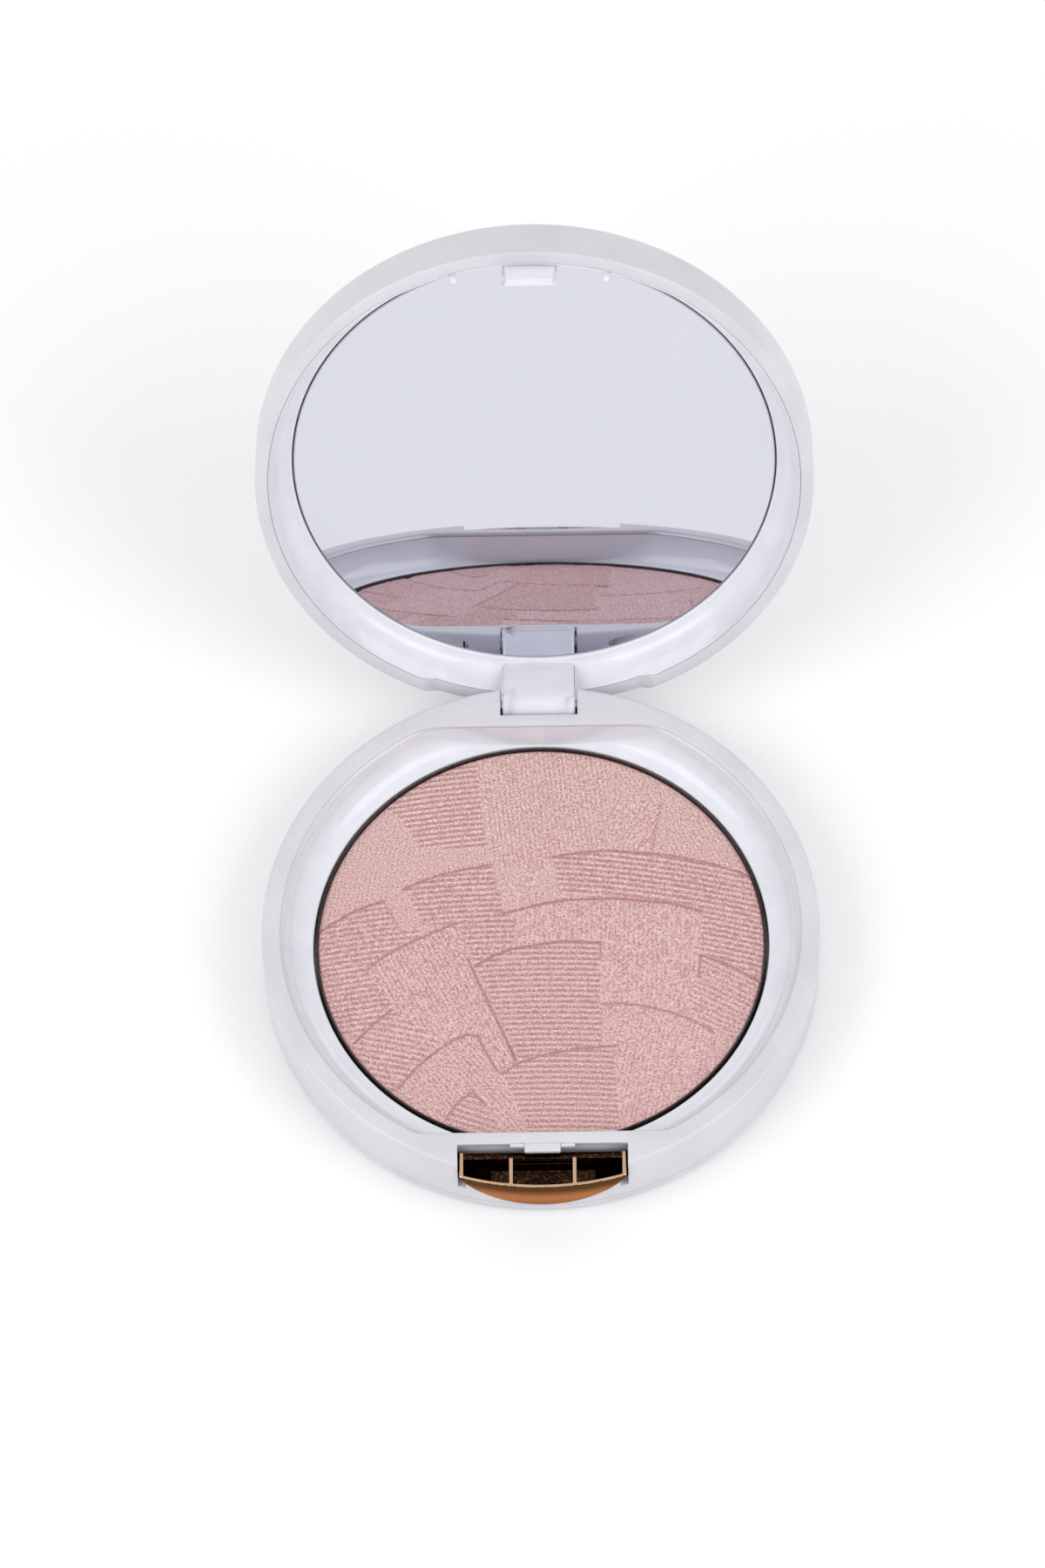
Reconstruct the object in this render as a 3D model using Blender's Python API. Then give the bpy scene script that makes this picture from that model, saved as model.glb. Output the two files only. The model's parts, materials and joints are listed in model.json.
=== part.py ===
"""Round clamshell powder compact, open, on its back stop.

Metres, +Z up. The origin is the centre of the flat underside. The hinge is at +Y and the
push button at -Y. Lid pieces are drawn closed and turned open about the hinge axis.
"""

import math

import bmesh
import bpy
from mathutils import Matrix, Vector

MM = 0.001

# Whole case
CASE_RADIUS = 36.5 * MM
LAND_HEIGHT = 10.65 * MM       # top of the base, where the lid's rim comes down
LID_CROWN = 0.5 * MM           # rise of the back at its centre
OPEN_ANGLE = 113.5             # degrees from closed to the back stop
RIM_GAP = 0.25 * MM
SEAT_GAP = 0.3 * MM            # between pieces that rest on or in each other
PLAY = 0.25 * MM               # round pieces that slide
SNUG_GAP = 0.05 * MM           # round pieces let into each other

# Base shell and bottom cover
SHELL_WALL = 1.6 * MM
FLANGE = 1.1 * MM
LAND_ROUND = 0.4 * MM
RIM_ROUND = 0.3 * MM           # lower edge of the lid
BASE_ROUND = 2.0 * MM
COVER_THICK = 1.3 * MM
COVER_EDGE = 2.3 * MM          # height of the seam above the underside
COVER_LIP = 1.0 * MM           # wall of the ring that locates the cover
COVER_LIP_HEIGHT = 0.7 * MM

# Well: a circle with its front and rear cut straight
LAND_WIDTH = 2.5 * MM          # from the case's outside to the well, at the sides
FRONT_SHELF = 6.63 * MM        # the same at the front
REAR_SHELF = 6.0 * MM          # and at the rear
WELL_FRONT_CORNER = 4.0 * MM
WELL_REAR_CORNER = 9.0 * MM
WELL_DRAFT = 0.5 * MM          # slope of the land's inner edge
TRAY_WALL = 1.0 * MM

# Pan and powder
PAN_MARGIN = 0.37 * MM         # pan to the well's front
PAN_DEPTH = 3.1 * MM
PAN_WALL = 0.35 * MM
PAN_GAP = 0.35 * MM
RING_DROP = 4.65 * MM          # land down to the tray's floor round the pan
PAN_PROUD = 0.3 * MM           # pan rim above that floor
POWDER_BELOW_RIM = 0.1 * MM
GLUE_MARGIN = 5.5 * MM         # glue pad to the pan's edge
GLUE_THICK = 0.25 * MM
GLUE_GAP = 0.2 * MM

# Hinge
HINGE_INSET = 2.1 * MM         # axis to the case's outside
HINGE_DROP = 1.65 * MM         # axis below the land
PIN_RADIUS = 0.75 * MM
PIN_PLAY = 0.1 * MM
KNUCKLE_WIDTH = 9.6 * MM
KNUCKLE_WALL = 1.2 * MM
SLOT_GAP = 0.35 * MM           # each side of the knuckle
BOSS_EAR = 4.45 * MM           # each side of the slot
RELIEF_EAR = 8.6 * MM          # stretch of rim cut back, each side of the boss
RELIEF_DEPTH = 1.2 * MM

# Lid
LID_RIM_WIDTH = 1.7 * MM
LID_ROUND = 2.5 * MM
LID_TOP_WALL = 1.3 * MM
MIRROR_MARGIN = 4.95 * MM      # mirror to the case's outside
MIRROR_THICK = 1.0 * MM
MIRROR_DEPTH = 5.15 * MM       # mirror face behind the lid's rim
PAD_MARGIN = 2.55 * MM         # pad to the mirror's edge
PAD_THICK = 0.4 * MM
PAD_GAP = 0.15 * MM

# Latch
BUTTON_WIDTH = 21.5 * MM
BUTTON_DROP = 0.95 * MM        # land down to the button's top
BUTTON_TIP = 1.0 * MM          # seam up to the lowest point of its half-moon face
MOON_INSET = 1.45 * MM         # the half moon's ends, each side, at the shoulder
MOON_SHARE = 0.4194            # half moon's rise, as a share of half its width
BUTTON_PROUD = 0.95 * MM       # face beyond the case, at the top
BUTTON_PROUD_LOW = 0.3 * MM    # and at the bottom
BUTTON_WALL = 0.6 * MM
BUTTON_END_WALL = 0.5 * MM
BUTTON_FLOOR_RISE = 2.2 * MM   # floor above the lowest point
RIB_THICK = 0.5 * MM
STROKE = 0.6 * MM
PLATE_EAR = 1.05 * MM          # retaining plate beyond the opening, each side
PLATE_THICK = 1.25 * MM
CATCH_DEPTH = 0.9 * MM
HOOK_INSET = 2.2 * MM          # outer face to the case's outside
HOOK_WIDTH = 7.1 * MM
HOOK_THICK = 0.8 * MM
HOOK_LENGTH = 2.9 * MM         # below the lid's rim
LIP_REACH = 0.5 * MM
LIP_HEIGHT = 0.6 * MM
NUB_INSET = 0.95 * MM          # centre to the button's end
NUB_SIZE = 0.8 * MM
POCKET_INSET = 4.84 * MM       # rear of the button's opening to the case's outside
TONGUE_NARROWER = 1.22 * MM    # than the hook, each side
TONGUE_REACH = 1.15 * MM
LEDGE_WIDER = 0.65 * MM         # ledge behind the tongue, wider than the hook, each side
LEDGE_REACH = 0.4 * MM
NOTCH_WIDTH = 1.05 * MM        # square corners at the ends of the button's opening
NOTCH_DROP = 2.3 * MM
SPRING_INSET = 2.25 * MM       # axis to the button's end
SPRING_DROP = 3.5 * MM         # axis below the button's top
SPRING_RADIUS = 1.2 * MM
SPRING_WIRE = 0.3 * MM
SPRING_TURNS = 2.5
SEAT_DEPTH = 0.45 * MM         # spring seat in the tray
PLATE_SEAT_DEPTH = 0.7 * MM    # and in the button's plate

SEGMENTS = 72
REACH = 60 * MM                # cutters run this far past the case

# Places worked out from the sizes above
LID_RIM = LAND_HEIGHT + RIM_GAP
MIRROR_FACE = LID_RIM + MIRROR_DEPTH
LID_INNER_TOP = MIRROR_FACE + MIRROR_THICK + PAD_GAP + PAD_THICK + SEAT_GAP
CLOSED_HEIGHT = LID_INNER_TOP + LID_TOP_WALL
LID_BORE = CASE_RADIUS - LID_RIM_WIDTH
FRAME_RADIUS = LID_BORE - SEAT_GAP
MIRROR_RADIUS = CASE_RADIUS - MIRROR_MARGIN
PAD_RADIUS = MIRROR_RADIUS - PAD_MARGIN
SHELL_BORE = CASE_RADIUS - SHELL_WALL
WELL_RADIUS = CASE_RADIUS - LAND_WIDTH
WELL_FRONT = CASE_RADIUS - FRONT_SHELF
WELL_REAR = CASE_RADIUS - REAR_SHELF
FLANGE_UNDER = LAND_HEIGHT - FLANGE
TRAY_TOP = FLANGE_UNDER - SEAT_GAP
TRAY_UNDER = COVER_THICK + SEAT_GAP
RING_HEIGHT = LAND_HEIGHT - RING_DROP
PAN_RADIUS = WELL_FRONT - PAN_MARGIN
PAN_BORE = PAN_RADIUS + PAN_GAP
PAN_TOP = RING_HEIGHT + PAN_PROUD
PAN_UNDER = PAN_TOP - PAN_DEPTH
GLUE_RADIUS = PAN_RADIUS - GLUE_MARGIN
CUP_FLOOR = PAN_UNDER - GLUE_THICK - 2 * GLUE_GAP
HINGE_Y = CASE_RADIUS - HINGE_INSET
HINGE_Z = LAND_HEIGHT - HINGE_DROP
KNUCKLE_RADIUS = PIN_RADIUS + PIN_PLAY + KNUCKLE_WALL
SLOT_WIDTH = KNUCKLE_WIDTH + 2 * SLOT_GAP
BOSS_WIDTH = SLOT_WIDTH + 2 * BOSS_EAR
PIN_LENGTH = BOSS_WIDTH + 2 * PLAY
RELIEF_WIDTH = BOSS_WIDTH + 2 * RELIEF_EAR
BUTTON_TOP = LAND_HEIGHT - BUTTON_DROP
BUTTON_LOW = COVER_EDGE + BUTTON_TIP
BUTTON_FACE_WIDTH = BUTTON_WIDTH - 2 * MOON_INSET
BUTTON_SHOULDER = BUTTON_LOW + MOON_SHARE * BUTTON_FACE_WIDTH / 2
BUTTON_FLOOR = BUTTON_LOW + BUTTON_FLOOR_RISE
PLATE_WIDTH = BUTTON_WIDTH + 2 * PLATE_EAR
HOOK_Y = HOOK_INSET - CASE_RADIUS
POCKET_REAR = POCKET_INSET - CASE_RADIUS
NUB_X = BUTTON_WIDTH / 2 - NUB_INSET
TONGUE_WIDTH = HOOK_WIDTH - 2 * TONGUE_NARROWER
SPRING_X = BUTTON_WIDTH / 2 - SPRING_INSET
SPRING_Z = BUTTON_TOP - SPRING_DROP
PLATE_FRONT = POCKET_REAR - TONGUE_REACH - PLAY * 2
PLATE_REAR = PLATE_FRONT + PLATE_THICK
CATCH_FRONT = HOOK_Y + HOOK_THICK + PLAY
HOOK_TIP = LID_RIM - HOOK_LENGTH
CATCH_UNDER = HOOK_TIP + LIP_HEIGHT + PLAY
TRAY_FRONT = POCKET_REAR + PLAY
TRAY_REAR = WELL_REAR + TRAY_WALL

COLOURS = {
    "pearl_satin": (0.69, 0.69, 0.71, 0.32, 0.0),
    "pearl_gloss": (0.74, 0.74, 0.78, 0.15, 0.0),
    "copper_plate": (0.42, 0.22, 0.11, 0.18, 1.0),
    "mirror_glass": (0.80, 0.80, 0.84, 0.02, 1.0),
    "steel": (0.60, 0.60, 0.62, 0.3, 1.0),
    "tinplate": (0.55, 0.55, 0.56, 0.35, 1.0),
    "powder": (0.58, 0.33, 0.31, 0.65, 0.0),
    "foam_tape": (0.80, 0.80, 0.78, 0.8, 0.0),
}


def clear_scene():
    for thing in list(bpy.data.objects):
        bpy.data.objects.remove(thing, do_unlink=True)


def material(name):
    found = bpy.data.materials.get(name)
    if found:
        return found
    red, green, blue, roughness, metallic = COLOURS[name]
    made = bpy.data.materials.new(name)
    made.use_nodes = True
    shader = made.node_tree.nodes["Principled BSDF"]
    shader.inputs["Base Color"].default_value = (red, green, blue, 1.0)
    shader.inputs["Roughness"].default_value = roughness
    shader.inputs["Metallic"].default_value = metallic
    made.diffuse_color = (red, green, blue, 1.0)
    return made


def add_object(name, mesh_builder, finish=None, parent=None):
    """Turn a bmesh into an object in world coordinates, then hang it on its parent."""
    bmesh.ops.recalc_face_normals(mesh_builder, faces=mesh_builder.faces[:])
    mesh = bpy.data.meshes.new(name)
    mesh_builder.to_mesh(mesh)
    mesh_builder.free()
    made = bpy.data.objects.new(name, mesh)
    bpy.context.scene.collection.objects.link(made)
    if finish:
        mesh.materials.append(material(finish))
        mesh.shade_smooth()
        mesh.set_sharp_from_angle(angle=math.radians(30))
    if parent:
        made.parent = parent
        made.matrix_parent_inverse = Matrix.Translation(parent.location).inverted()
    return made


def cut_circle(angle, radius, front, rear):
    """Distance from the centre to a circle whose front and rear are cut straight.

    The two straights are joined to the circle by corner arcs.
    """
    behind = math.sin(angle) >= 0
    side = rear if behind else front
    corner = WELL_REAR_CORNER if behind else WELL_FRONT_CORNER
    if side >= radius:
        return radius
    across = abs(math.cos(angle))
    along = abs(math.sin(angle))
    centre_along = side - corner
    centre_across = math.sqrt((radius - corner) ** 2 - centre_along ** 2)
    if along * centre_across >= across * side:
        return side / along
    if along * centre_across <= across * centre_along:
        return radius
    middle = across * centre_across + along * centre_along
    spread = centre_across ** 2 + centre_along ** 2 - corner ** 2
    return middle + math.sqrt(middle ** 2 - spread)


def circle_ring(radius, height):
    if radius == 0:
        return [Vector((0, 0, height))]
    turns = [2 * math.pi * step / SEGMENTS for step in range(SEGMENTS)]
    return [Vector((radius * math.cos(a), radius * math.sin(a), height)) for a in turns]


def cut_ring(radius, front, rear, height):
    turns = [2 * math.pi * step / SEGMENTS for step in range(SEGMENTS)]
    reach = [cut_circle(a, radius, front, rear) for a in turns]
    return [Vector((r * math.cos(a), r * math.sin(a), height)) for r, a in zip(reach, turns)]


def skin(rings, closed_loop):
    """Closed surface through rings of equal length; a ring of one point is a pole."""
    built = bmesh.new()
    rows = [[built.verts.new(point) for point in ring] for ring in rings]
    pairs = list(zip(rows, rows[1:]))
    if closed_loop:
        pairs.append((rows[-1], rows[0]))
    for lower, upper in pairs:
        for step in range(SEGMENTS):
            following = (step + 1) % SEGMENTS
            if len(lower) == 1:
                built.faces.new((lower[0], upper[step], upper[following]))
            elif len(upper) == 1:
                built.faces.new((lower[step], upper[0], lower[following]))
            else:
                built.faces.new((lower[step], lower[following], upper[following], upper[step]))
    return built


def arc(centre, radius, start, end, steps):
    """Points of a circular arc, angles in degrees."""
    turns = [math.radians(start + (end - start) * step / steps) for step in range(steps + 1)]
    return [(centre[0] + radius * math.cos(a), centre[1] + radius * math.sin(a)) for a in turns]


def turned(profile):
    """Solid of revolution from (radius, height) points that start and end on the axis."""
    return skin([circle_ring(radius, height) for radius, height in profile], False)


def turned_ring(profile):
    return skin([circle_ring(radius, height) for radius, height in profile], True)


def box(low, high):
    built = bmesh.new()
    bmesh.ops.create_cube(built, size=1.0)
    size = Vector(high) - Vector(low)
    middle = (Vector(high) + Vector(low)) / 2
    for corner in built.verts:
        corner.co = Vector(a * b for a, b in zip(corner.co, size)) + middle
    return built


def prism(outline, low, high, axis):
    """Straight prism between two heights along an axis; outline is in the other two."""
    built = bmesh.new()
    ends = []
    for level in (low, high):
        points = [Vector((p[0], level, p[1])) if axis == "Y" else Vector((level, p[0], p[1])) for p in outline]
        ends.append([built.verts.new(point) for point in points])
    built.faces.new(ends[0])
    built.faces.new(list(reversed(ends[1])))
    for step in range(len(outline)):
        following = (step + 1) % len(outline)
        built.faces.new((ends[0][step], ends[0][following], ends[1][following], ends[1][step]))
    return built


def rod(axis, centre, radius, low, high, steps=24):
    """Round rod along X or Y; centre gives its other two coordinates."""
    outline = arc(centre, radius, 0, 360 * (steps - 1) / steps, steps - 1)
    return prism(outline, low, high, axis)


def combine(target, operation, builder, number):
    """Keep a hidden tool object and apply it to the target with an exact Boolean."""
    tool = add_object(f"{target.name}_tool_{number}", builder)
    tool.parent = target.parent
    tool.matrix_parent_inverse = target.matrix_parent_inverse
    tool.hide_render = True
    tool.display_type = "WIRE"
    step = target.modifiers.new(f"{operation.lower()}_{number}", "BOOLEAN")
    step.operation = operation
    step.solver = "EXACT"
    step.object = tool


def shape(target, steps):
    for number, (operation, builder) in enumerate(steps):
        combine(target, operation, builder, number)


def moon_height(x, offset):
    """Lower edge of the button's half-moon face at x, grown outwards by offset."""
    half = BUTTON_FACE_WIDTH / 2
    rise = BUTTON_SHOULDER - BUTTON_LOW
    radius = (half ** 2 + rise ** 2) / (2 * rise)
    return BUTTON_LOW + radius - math.sqrt((radius + offset) ** 2 - x ** 2)


def half_moon(offset, limit, top, steps=20):
    """Outline in X and Z: flat at the top, cut straight at x = limit, arched below."""
    across = [-limit + 2 * limit * step / steps for step in range(steps + 1)]
    return [(-limit, top)] + [(x, moon_height(x, offset)) for x in across] + [(limit, top)]


# base


def make_bottom_cover():
    lip_outer = SHELL_BORE - SEAT_GAP
    lip_inner = lip_outer - COVER_LIP
    edge = arc((CASE_RADIUS - BASE_ROUND, BASE_ROUND), BASE_ROUND, -90, 0, 5)
    profile = [(0, 0)] + edge + [
        (CASE_RADIUS, COVER_EDGE),
        (lip_outer, COVER_EDGE),
        (lip_outer, COVER_EDGE + COVER_LIP_HEIGHT),
        (lip_inner, COVER_EDGE + COVER_LIP_HEIGHT),
        (lip_inner, COVER_THICK),
        (0, COVER_THICK),
    ]
    return add_object("bottom_cover", turned(profile), "pearl_satin")


def sill_height():
    """Height of the slot's sill, which stops the hinge arm at the open angle."""
    lean = math.radians(OPEN_ANGLE) - math.pi / 2
    below = arm_thickness() + (CASE_RADIUS - HINGE_Y) * math.sin(lean)
    return HINGE_Z - below / math.cos(lean) - PIN_PLAY


def arm_thickness():
    """From the hinge axis to the back of the hinge arm."""
    return CASE_RADIUS - HINGE_Y - PLAY


def make_base_shell():
    bottom = COVER_EDGE + PLAY
    rings = [circle_ring(SHELL_BORE, bottom), circle_ring(CASE_RADIUS, bottom)]
    for radius, height in arc((CASE_RADIUS - LAND_ROUND, LAND_HEIGHT - LAND_ROUND), LAND_ROUND, 0, 90, 3):
        rings.append(circle_ring(radius, height))
    rings.append(cut_ring(WELL_RADIUS, WELL_FRONT, WELL_REAR, LAND_HEIGHT))
    rings.append(cut_ring(WELL_RADIUS - WELL_DRAFT, WELL_FRONT, WELL_REAR, FLANGE_UNDER))
    rings.append(circle_ring(SHELL_BORE, FLANGE_UNDER))
    shell = add_object("base_shell", skin(rings, True), "pearl_satin")

    boss_front = TRAY_REAR + SEAT_GAP
    boss_low = HINGE_Z - PIN_RADIUS - SHELL_WALL
    boss_rear = math.sqrt((CASE_RADIUS - PLAY) ** 2 - (BOSS_WIDTH / 2) ** 2)
    slot = SLOT_WIDTH / 2
    slot_front = HINGE_Y - KNUCKLE_RADIUS - PLAY
    opening = BUTTON_WIDTH / 2 + SEAT_GAP
    notch = opening - NOTCH_WIDTH
    notch_low = BUTTON_SHOULDER - NOTCH_DROP
    moon = half_moon(PLAY, notch, REACH)[1:-1]
    notched = [(-notch, notch_low)] + moon + [(notch, notch_low)]
    notched += [(opening, notch_low), (opening, REACH), (-opening, REACH), (-opening, notch_low)]
    recess_front = PLATE_FRONT - SEAT_GAP
    plate = PLATE_WIDTH / 2 + PLAY * 2
    tongue = TONGUE_WIDTH / 2
    ledge = HOOK_WIDTH / 2 + LEDGE_WIDER
    shape(shell, [
        ("UNION", box((-BOSS_WIDTH / 2, boss_front, boss_low), (BOSS_WIDTH / 2, boss_rear, FLANGE_UNDER + PLAY))),
        ("DIFFERENCE", box((-slot, slot_front, sill_height()), (slot, REACH, REACH))),
        ("DIFFERENCE", box((-slot, TRAY_REAR, sill_height()), (slot, HINGE_Y, FLANGE_UNDER))),
        ("DIFFERENCE", rod("X", (HINGE_Y, HINGE_Z), PIN_RADIUS + PIN_PLAY, -PIN_LENGTH / 2 - PLAY, REACH)),
        ("DIFFERENCE", prism(notched, -REACH, POCKET_REAR, "Y")),
        ("DIFFERENCE", box((-plate, recess_front, bottom - PLAY), (plate, 0, FLANGE_UNDER))),
        ("UNION", box((-tongue, POCKET_REAR - TONGUE_REACH, BUTTON_TOP + SEAT_GAP),
                      (tongue, POCKET_REAR + PLAY, LAND_HEIGHT - SNUG_GAP))),
        ("UNION", box((-ledge, POCKET_REAR - LEDGE_REACH, BUTTON_TOP + SEAT_GAP),
                      (ledge, POCKET_REAR + PLAY, LAND_HEIGHT - SNUG_GAP * 2))),
    ])
    return shell


def make_tray():
    cove_steps = 6
    foot = PAN_BORE + PLAY
    top_radius = WELL_RADIUS - WELL_DRAFT - PLAY / 2
    rings = [circle_ring(0, CUP_FLOOR), circle_ring(PAN_BORE, CUP_FLOOR), circle_ring(PAN_BORE, RING_HEIGHT)]
    for step in range(cove_steps + 1):
        turn = math.pi / 2 * step / cove_steps
        out = math.sin(turn)
        rise = 1 - math.cos(turn)
        height = RING_HEIGHT + (TRAY_TOP - RING_HEIGHT) * rise
        front = foot + (WELL_FRONT - foot) * out
        rear = foot + (WELL_REAR - foot) * out
        rings.append(cut_ring(foot + (top_radius - foot) * out, front, rear, height))
    outer = SHELL_BORE - SEAT_GAP - SNUG_GAP * 2
    step_height = SPRING_Z - SPRING_RADIUS - TRAY_WALL / 2
    rings.append(cut_ring(outer, -TRAY_FRONT, TRAY_REAR, TRAY_TOP))
    rings.append(cut_ring(outer, -TRAY_FRONT, TRAY_REAR, step_height))
    rings.append(circle_ring(PAN_BORE + TRAY_WALL, step_height))
    rings.append(circle_ring(PAN_BORE + TRAY_WALL, TRAY_UNDER))
    rings.append(circle_ring(0, TRAY_UNDER))
    tray = add_object("inner_tray", skin(rings, False), "pearl_gloss")
    seat = SPRING_RADIUS + PLAY / 2
    shape(tray, [
        ("DIFFERENCE", rod("Y", (side * SPRING_X, SPRING_Z), seat, -REACH, TRAY_FRONT + SEAT_DEPTH))
        for side in (-1, 1)
    ])
    return tray


def make_pan():
    profile = [
        (0, PAN_UNDER),
        (PAN_RADIUS - PAN_WALL, PAN_UNDER),
        (PAN_RADIUS, PAN_UNDER + PAN_WALL),
        (PAN_RADIUS, PAN_TOP),
        (PAN_RADIUS - PAN_WALL, PAN_TOP),
        (PAN_RADIUS - PAN_WALL, PAN_UNDER + PAN_WALL),
        (0, PAN_UNDER + PAN_WALL),
    ]
    return add_object("powder_pan", turned(profile), "tinplate")


def make_powder():
    low = PAN_UNDER + PAN_WALL + GLUE_GAP
    high = PAN_TOP - POWDER_BELOW_RIM
    radius = PAN_RADIUS - PAN_WALL - GLUE_GAP
    bevel = PAN_WALL
    profile = [(0, low), (radius, low), (radius, high - bevel), (radius - bevel, high), (0, high)]
    return add_object("powder_cake", turned(profile), "powder")


def make_glue():
    low = CUP_FLOOR + GLUE_GAP
    profile = [(0, low), (GLUE_RADIUS, low), (GLUE_RADIUS, low + GLUE_THICK), (0, low + GLUE_THICK)]
    return add_object("pan_glue_pad", turned(profile), "foam_tape")


def make_pin():
    pin = rod("X", (HINGE_Y, HINGE_Z), PIN_RADIUS, -PIN_LENGTH / 2, PIN_LENGTH / 2)
    return add_object("hinge_pin", pin, "steel")


# lid


def hinge_empty():
    pivot = bpy.data.objects.new("lid_pivot", None)
    bpy.context.scene.collection.objects.link(pivot)
    pivot.location = (0, HINGE_Y, HINGE_Z)
    pivot.rotation_euler = (-math.radians(OPEN_ANGLE), 0, 0)
    return pivot


def back_profile():
    """Crowned back of the lid, from the axis to where its edge starts to round."""
    flat = CASE_RADIUS - LID_ROUND
    radius = (flat ** 2 + LID_CROWN ** 2) / (2 * LID_CROWN)
    spread = math.degrees(math.asin(flat / radius))
    centre = CLOSED_HEIGHT + LID_CROWN - radius
    points = arc((0, centre), radius, 90, 90 - spread, 5)
    return [(0, CLOSED_HEIGHT + LID_CROWN)] + points[1:]


def make_lid_shell(pivot):
    profile = back_profile()[:-1]
    profile += arc((CASE_RADIUS - LID_ROUND, CLOSED_HEIGHT - LID_ROUND), LID_ROUND, 90, 0, 6)
    profile += arc((CASE_RADIUS - RIM_ROUND, LID_RIM + RIM_ROUND), RIM_ROUND, 0, -90, 3)
    profile += [(LID_BORE, LID_RIM), (LID_BORE, LID_INNER_TOP), (0, LID_INNER_TOP)]
    shell = add_object("lid_shell", turned(profile), "pearl_satin", pivot)
    arm = KNUCKLE_WIDTH / 2 + SEAT_GAP
    shape(shell, [
        ("DIFFERENCE", relief_cutter()),
        ("DIFFERENCE", box((-arm, HINGE_Y - KNUCKLE_RADIUS, 0), (arm, REACH, arm_top() + SEAT_GAP))),
    ])
    return shell


def relief_cutter():
    """The rim is cut back at the hinge so that it clears the base as the lid leans back."""
    half = RELIEF_WIDTH / 2
    top = LID_RIM + RELIEF_DEPTH
    outline = [(-half, LID_RIM), (-half + RELIEF_DEPTH / 2, top), (half - RELIEF_DEPTH / 2, top), (half, LID_RIM),
               (half, 0), (-half, 0)]
    return prism(outline, CASE_RADIUS / 2, REACH, "Y")


def arm_top():
    return CLOSED_HEIGHT - LID_ROUND - SEAT_GAP * 2


def make_mirror_frame(pivot):
    cove_steps = 6
    bore = MIRROR_RADIUS + SEAT_GAP
    low = LID_RIM + SEAT_GAP
    high = LID_INNER_TOP - SEAT_GAP
    foot = bore + PLAY
    edge = FRAME_RADIUS - SEAT_GAP
    profile = [(FRAME_RADIUS, low), (FRAME_RADIUS, high), (bore, high), (bore, MIRROR_FACE)]
    for step in range(cove_steps + 1):
        turn = math.pi / 2 * step / cove_steps
        out = foot + (edge - foot) * math.sin(turn)
        drop = MIRROR_FACE - (MIRROR_FACE - low) * (1 - math.cos(turn))
        profile.append((out, drop))
    frame = add_object("mirror_frame", turned_ring(profile), "pearl_gloss", pivot)
    arm = KNUCKLE_WIDTH / 2
    front = HINGE_Y - KNUCKLE_RADIUS
    rear = HINGE_Y + arm_thickness()
    arm_outline = arc((HINGE_Y, HINGE_Z), KNUCKLE_RADIUS, 180, 360, 14)[:-1]
    arm_outline += [(rear, HINGE_Z), (rear, arm_top()), (front, arm_top())]
    nub = NUB_SIZE / 2
    nub_front = -math.sqrt((FRAME_RADIUS - SNUG_GAP) ** 2 - (NUB_X + nub) ** 2)
    steps = [
        ("DIFFERENCE", relief_cutter()),
        ("UNION", prism(arm_outline, -arm, arm, "X")),
        ("DIFFERENCE", rod("X", (HINGE_Y, HINGE_Z), PIN_RADIUS + PIN_PLAY, -REACH, REACH)),
        ("UNION", hook_plate()),
    ]
    for side in (-1, 1):
        x = side * NUB_X
        low_corner = (x - nub, nub_front, BUTTON_TOP + PLAY)
        high_corner = (x + nub, nub_front + NUB_SIZE, LID_RIM + MIRROR_DEPTH / 2)
        steps.append(("UNION", box(low_corner, high_corner)))
    shape(frame, steps)
    return frame


def hook_plate():
    """Tongue with a lip at its tip, an L in Y and Z, whose tip corners are chamfered."""
    root = LID_RIM + MIRROR_DEPTH / 2
    inner = HOOK_Y + HOOK_THICK
    half = HOOK_WIDTH / 2
    chamfer = LIP_HEIGHT
    outline = [(HOOK_Y, root), (HOOK_Y, HOOK_TIP), (inner + LIP_REACH / 2, HOOK_TIP),
               (inner + LIP_REACH, HOOK_TIP + LIP_HEIGHT / 2), (inner + LIP_REACH, HOOK_TIP + LIP_HEIGHT),
               (inner, HOOK_TIP + LIP_HEIGHT), (inner, root)]
    built = prism(outline, -half, half, "X")
    for corner in built.verts:
        if corner.co.z < HOOK_TIP + LIP_HEIGHT / 4:
            corner.co.x -= math.copysign(chamfer, corner.co.x)
    return built


def make_mirror(pivot):
    bevel = PAD_GAP
    back = MIRROR_FACE + MIRROR_THICK
    profile = [(0, MIRROR_FACE), (MIRROR_RADIUS - bevel, MIRROR_FACE), (MIRROR_RADIUS, MIRROR_FACE + bevel),
               (MIRROR_RADIUS, back), (0, back)]
    return add_object("mirror", turned(profile), "mirror_glass", pivot)


def make_mirror_pad(pivot):
    low = MIRROR_FACE + MIRROR_THICK + PAD_GAP
    profile = [(0, low), (PAD_RADIUS, low), (PAD_RADIUS, low + PAD_THICK), (0, low + PAD_THICK)]
    return add_object("mirror_pad", turned(profile), "foam_tape", pivot)


# latch


def button_empty():
    slider = bpy.data.objects.new("button_slide", None)
    bpy.context.scene.collection.objects.link(slider)
    slider.location = (0, PLATE_FRONT, (BUTTON_TOP + BUTTON_LOW) / 2)
    return slider


def face_cylinder():
    """Turned block whose wall is the button's face: proud at the top, nearly flush below."""
    low = CASE_RADIUS + BUTTON_PROUD_LOW
    high = CASE_RADIUS + BUTTON_PROUD
    steps = 5
    profile = [(0, 0), (low, 0)]
    for step in range(1, steps + 1):
        part = step / steps
        height = BUTTON_LOW + (BUTTON_TOP - BUTTON_LOW) * part
        profile.append((low + (high - low) * math.sin(part * math.pi / 2), height))
    return turned(profile + [(0, BUTTON_TOP)])


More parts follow.
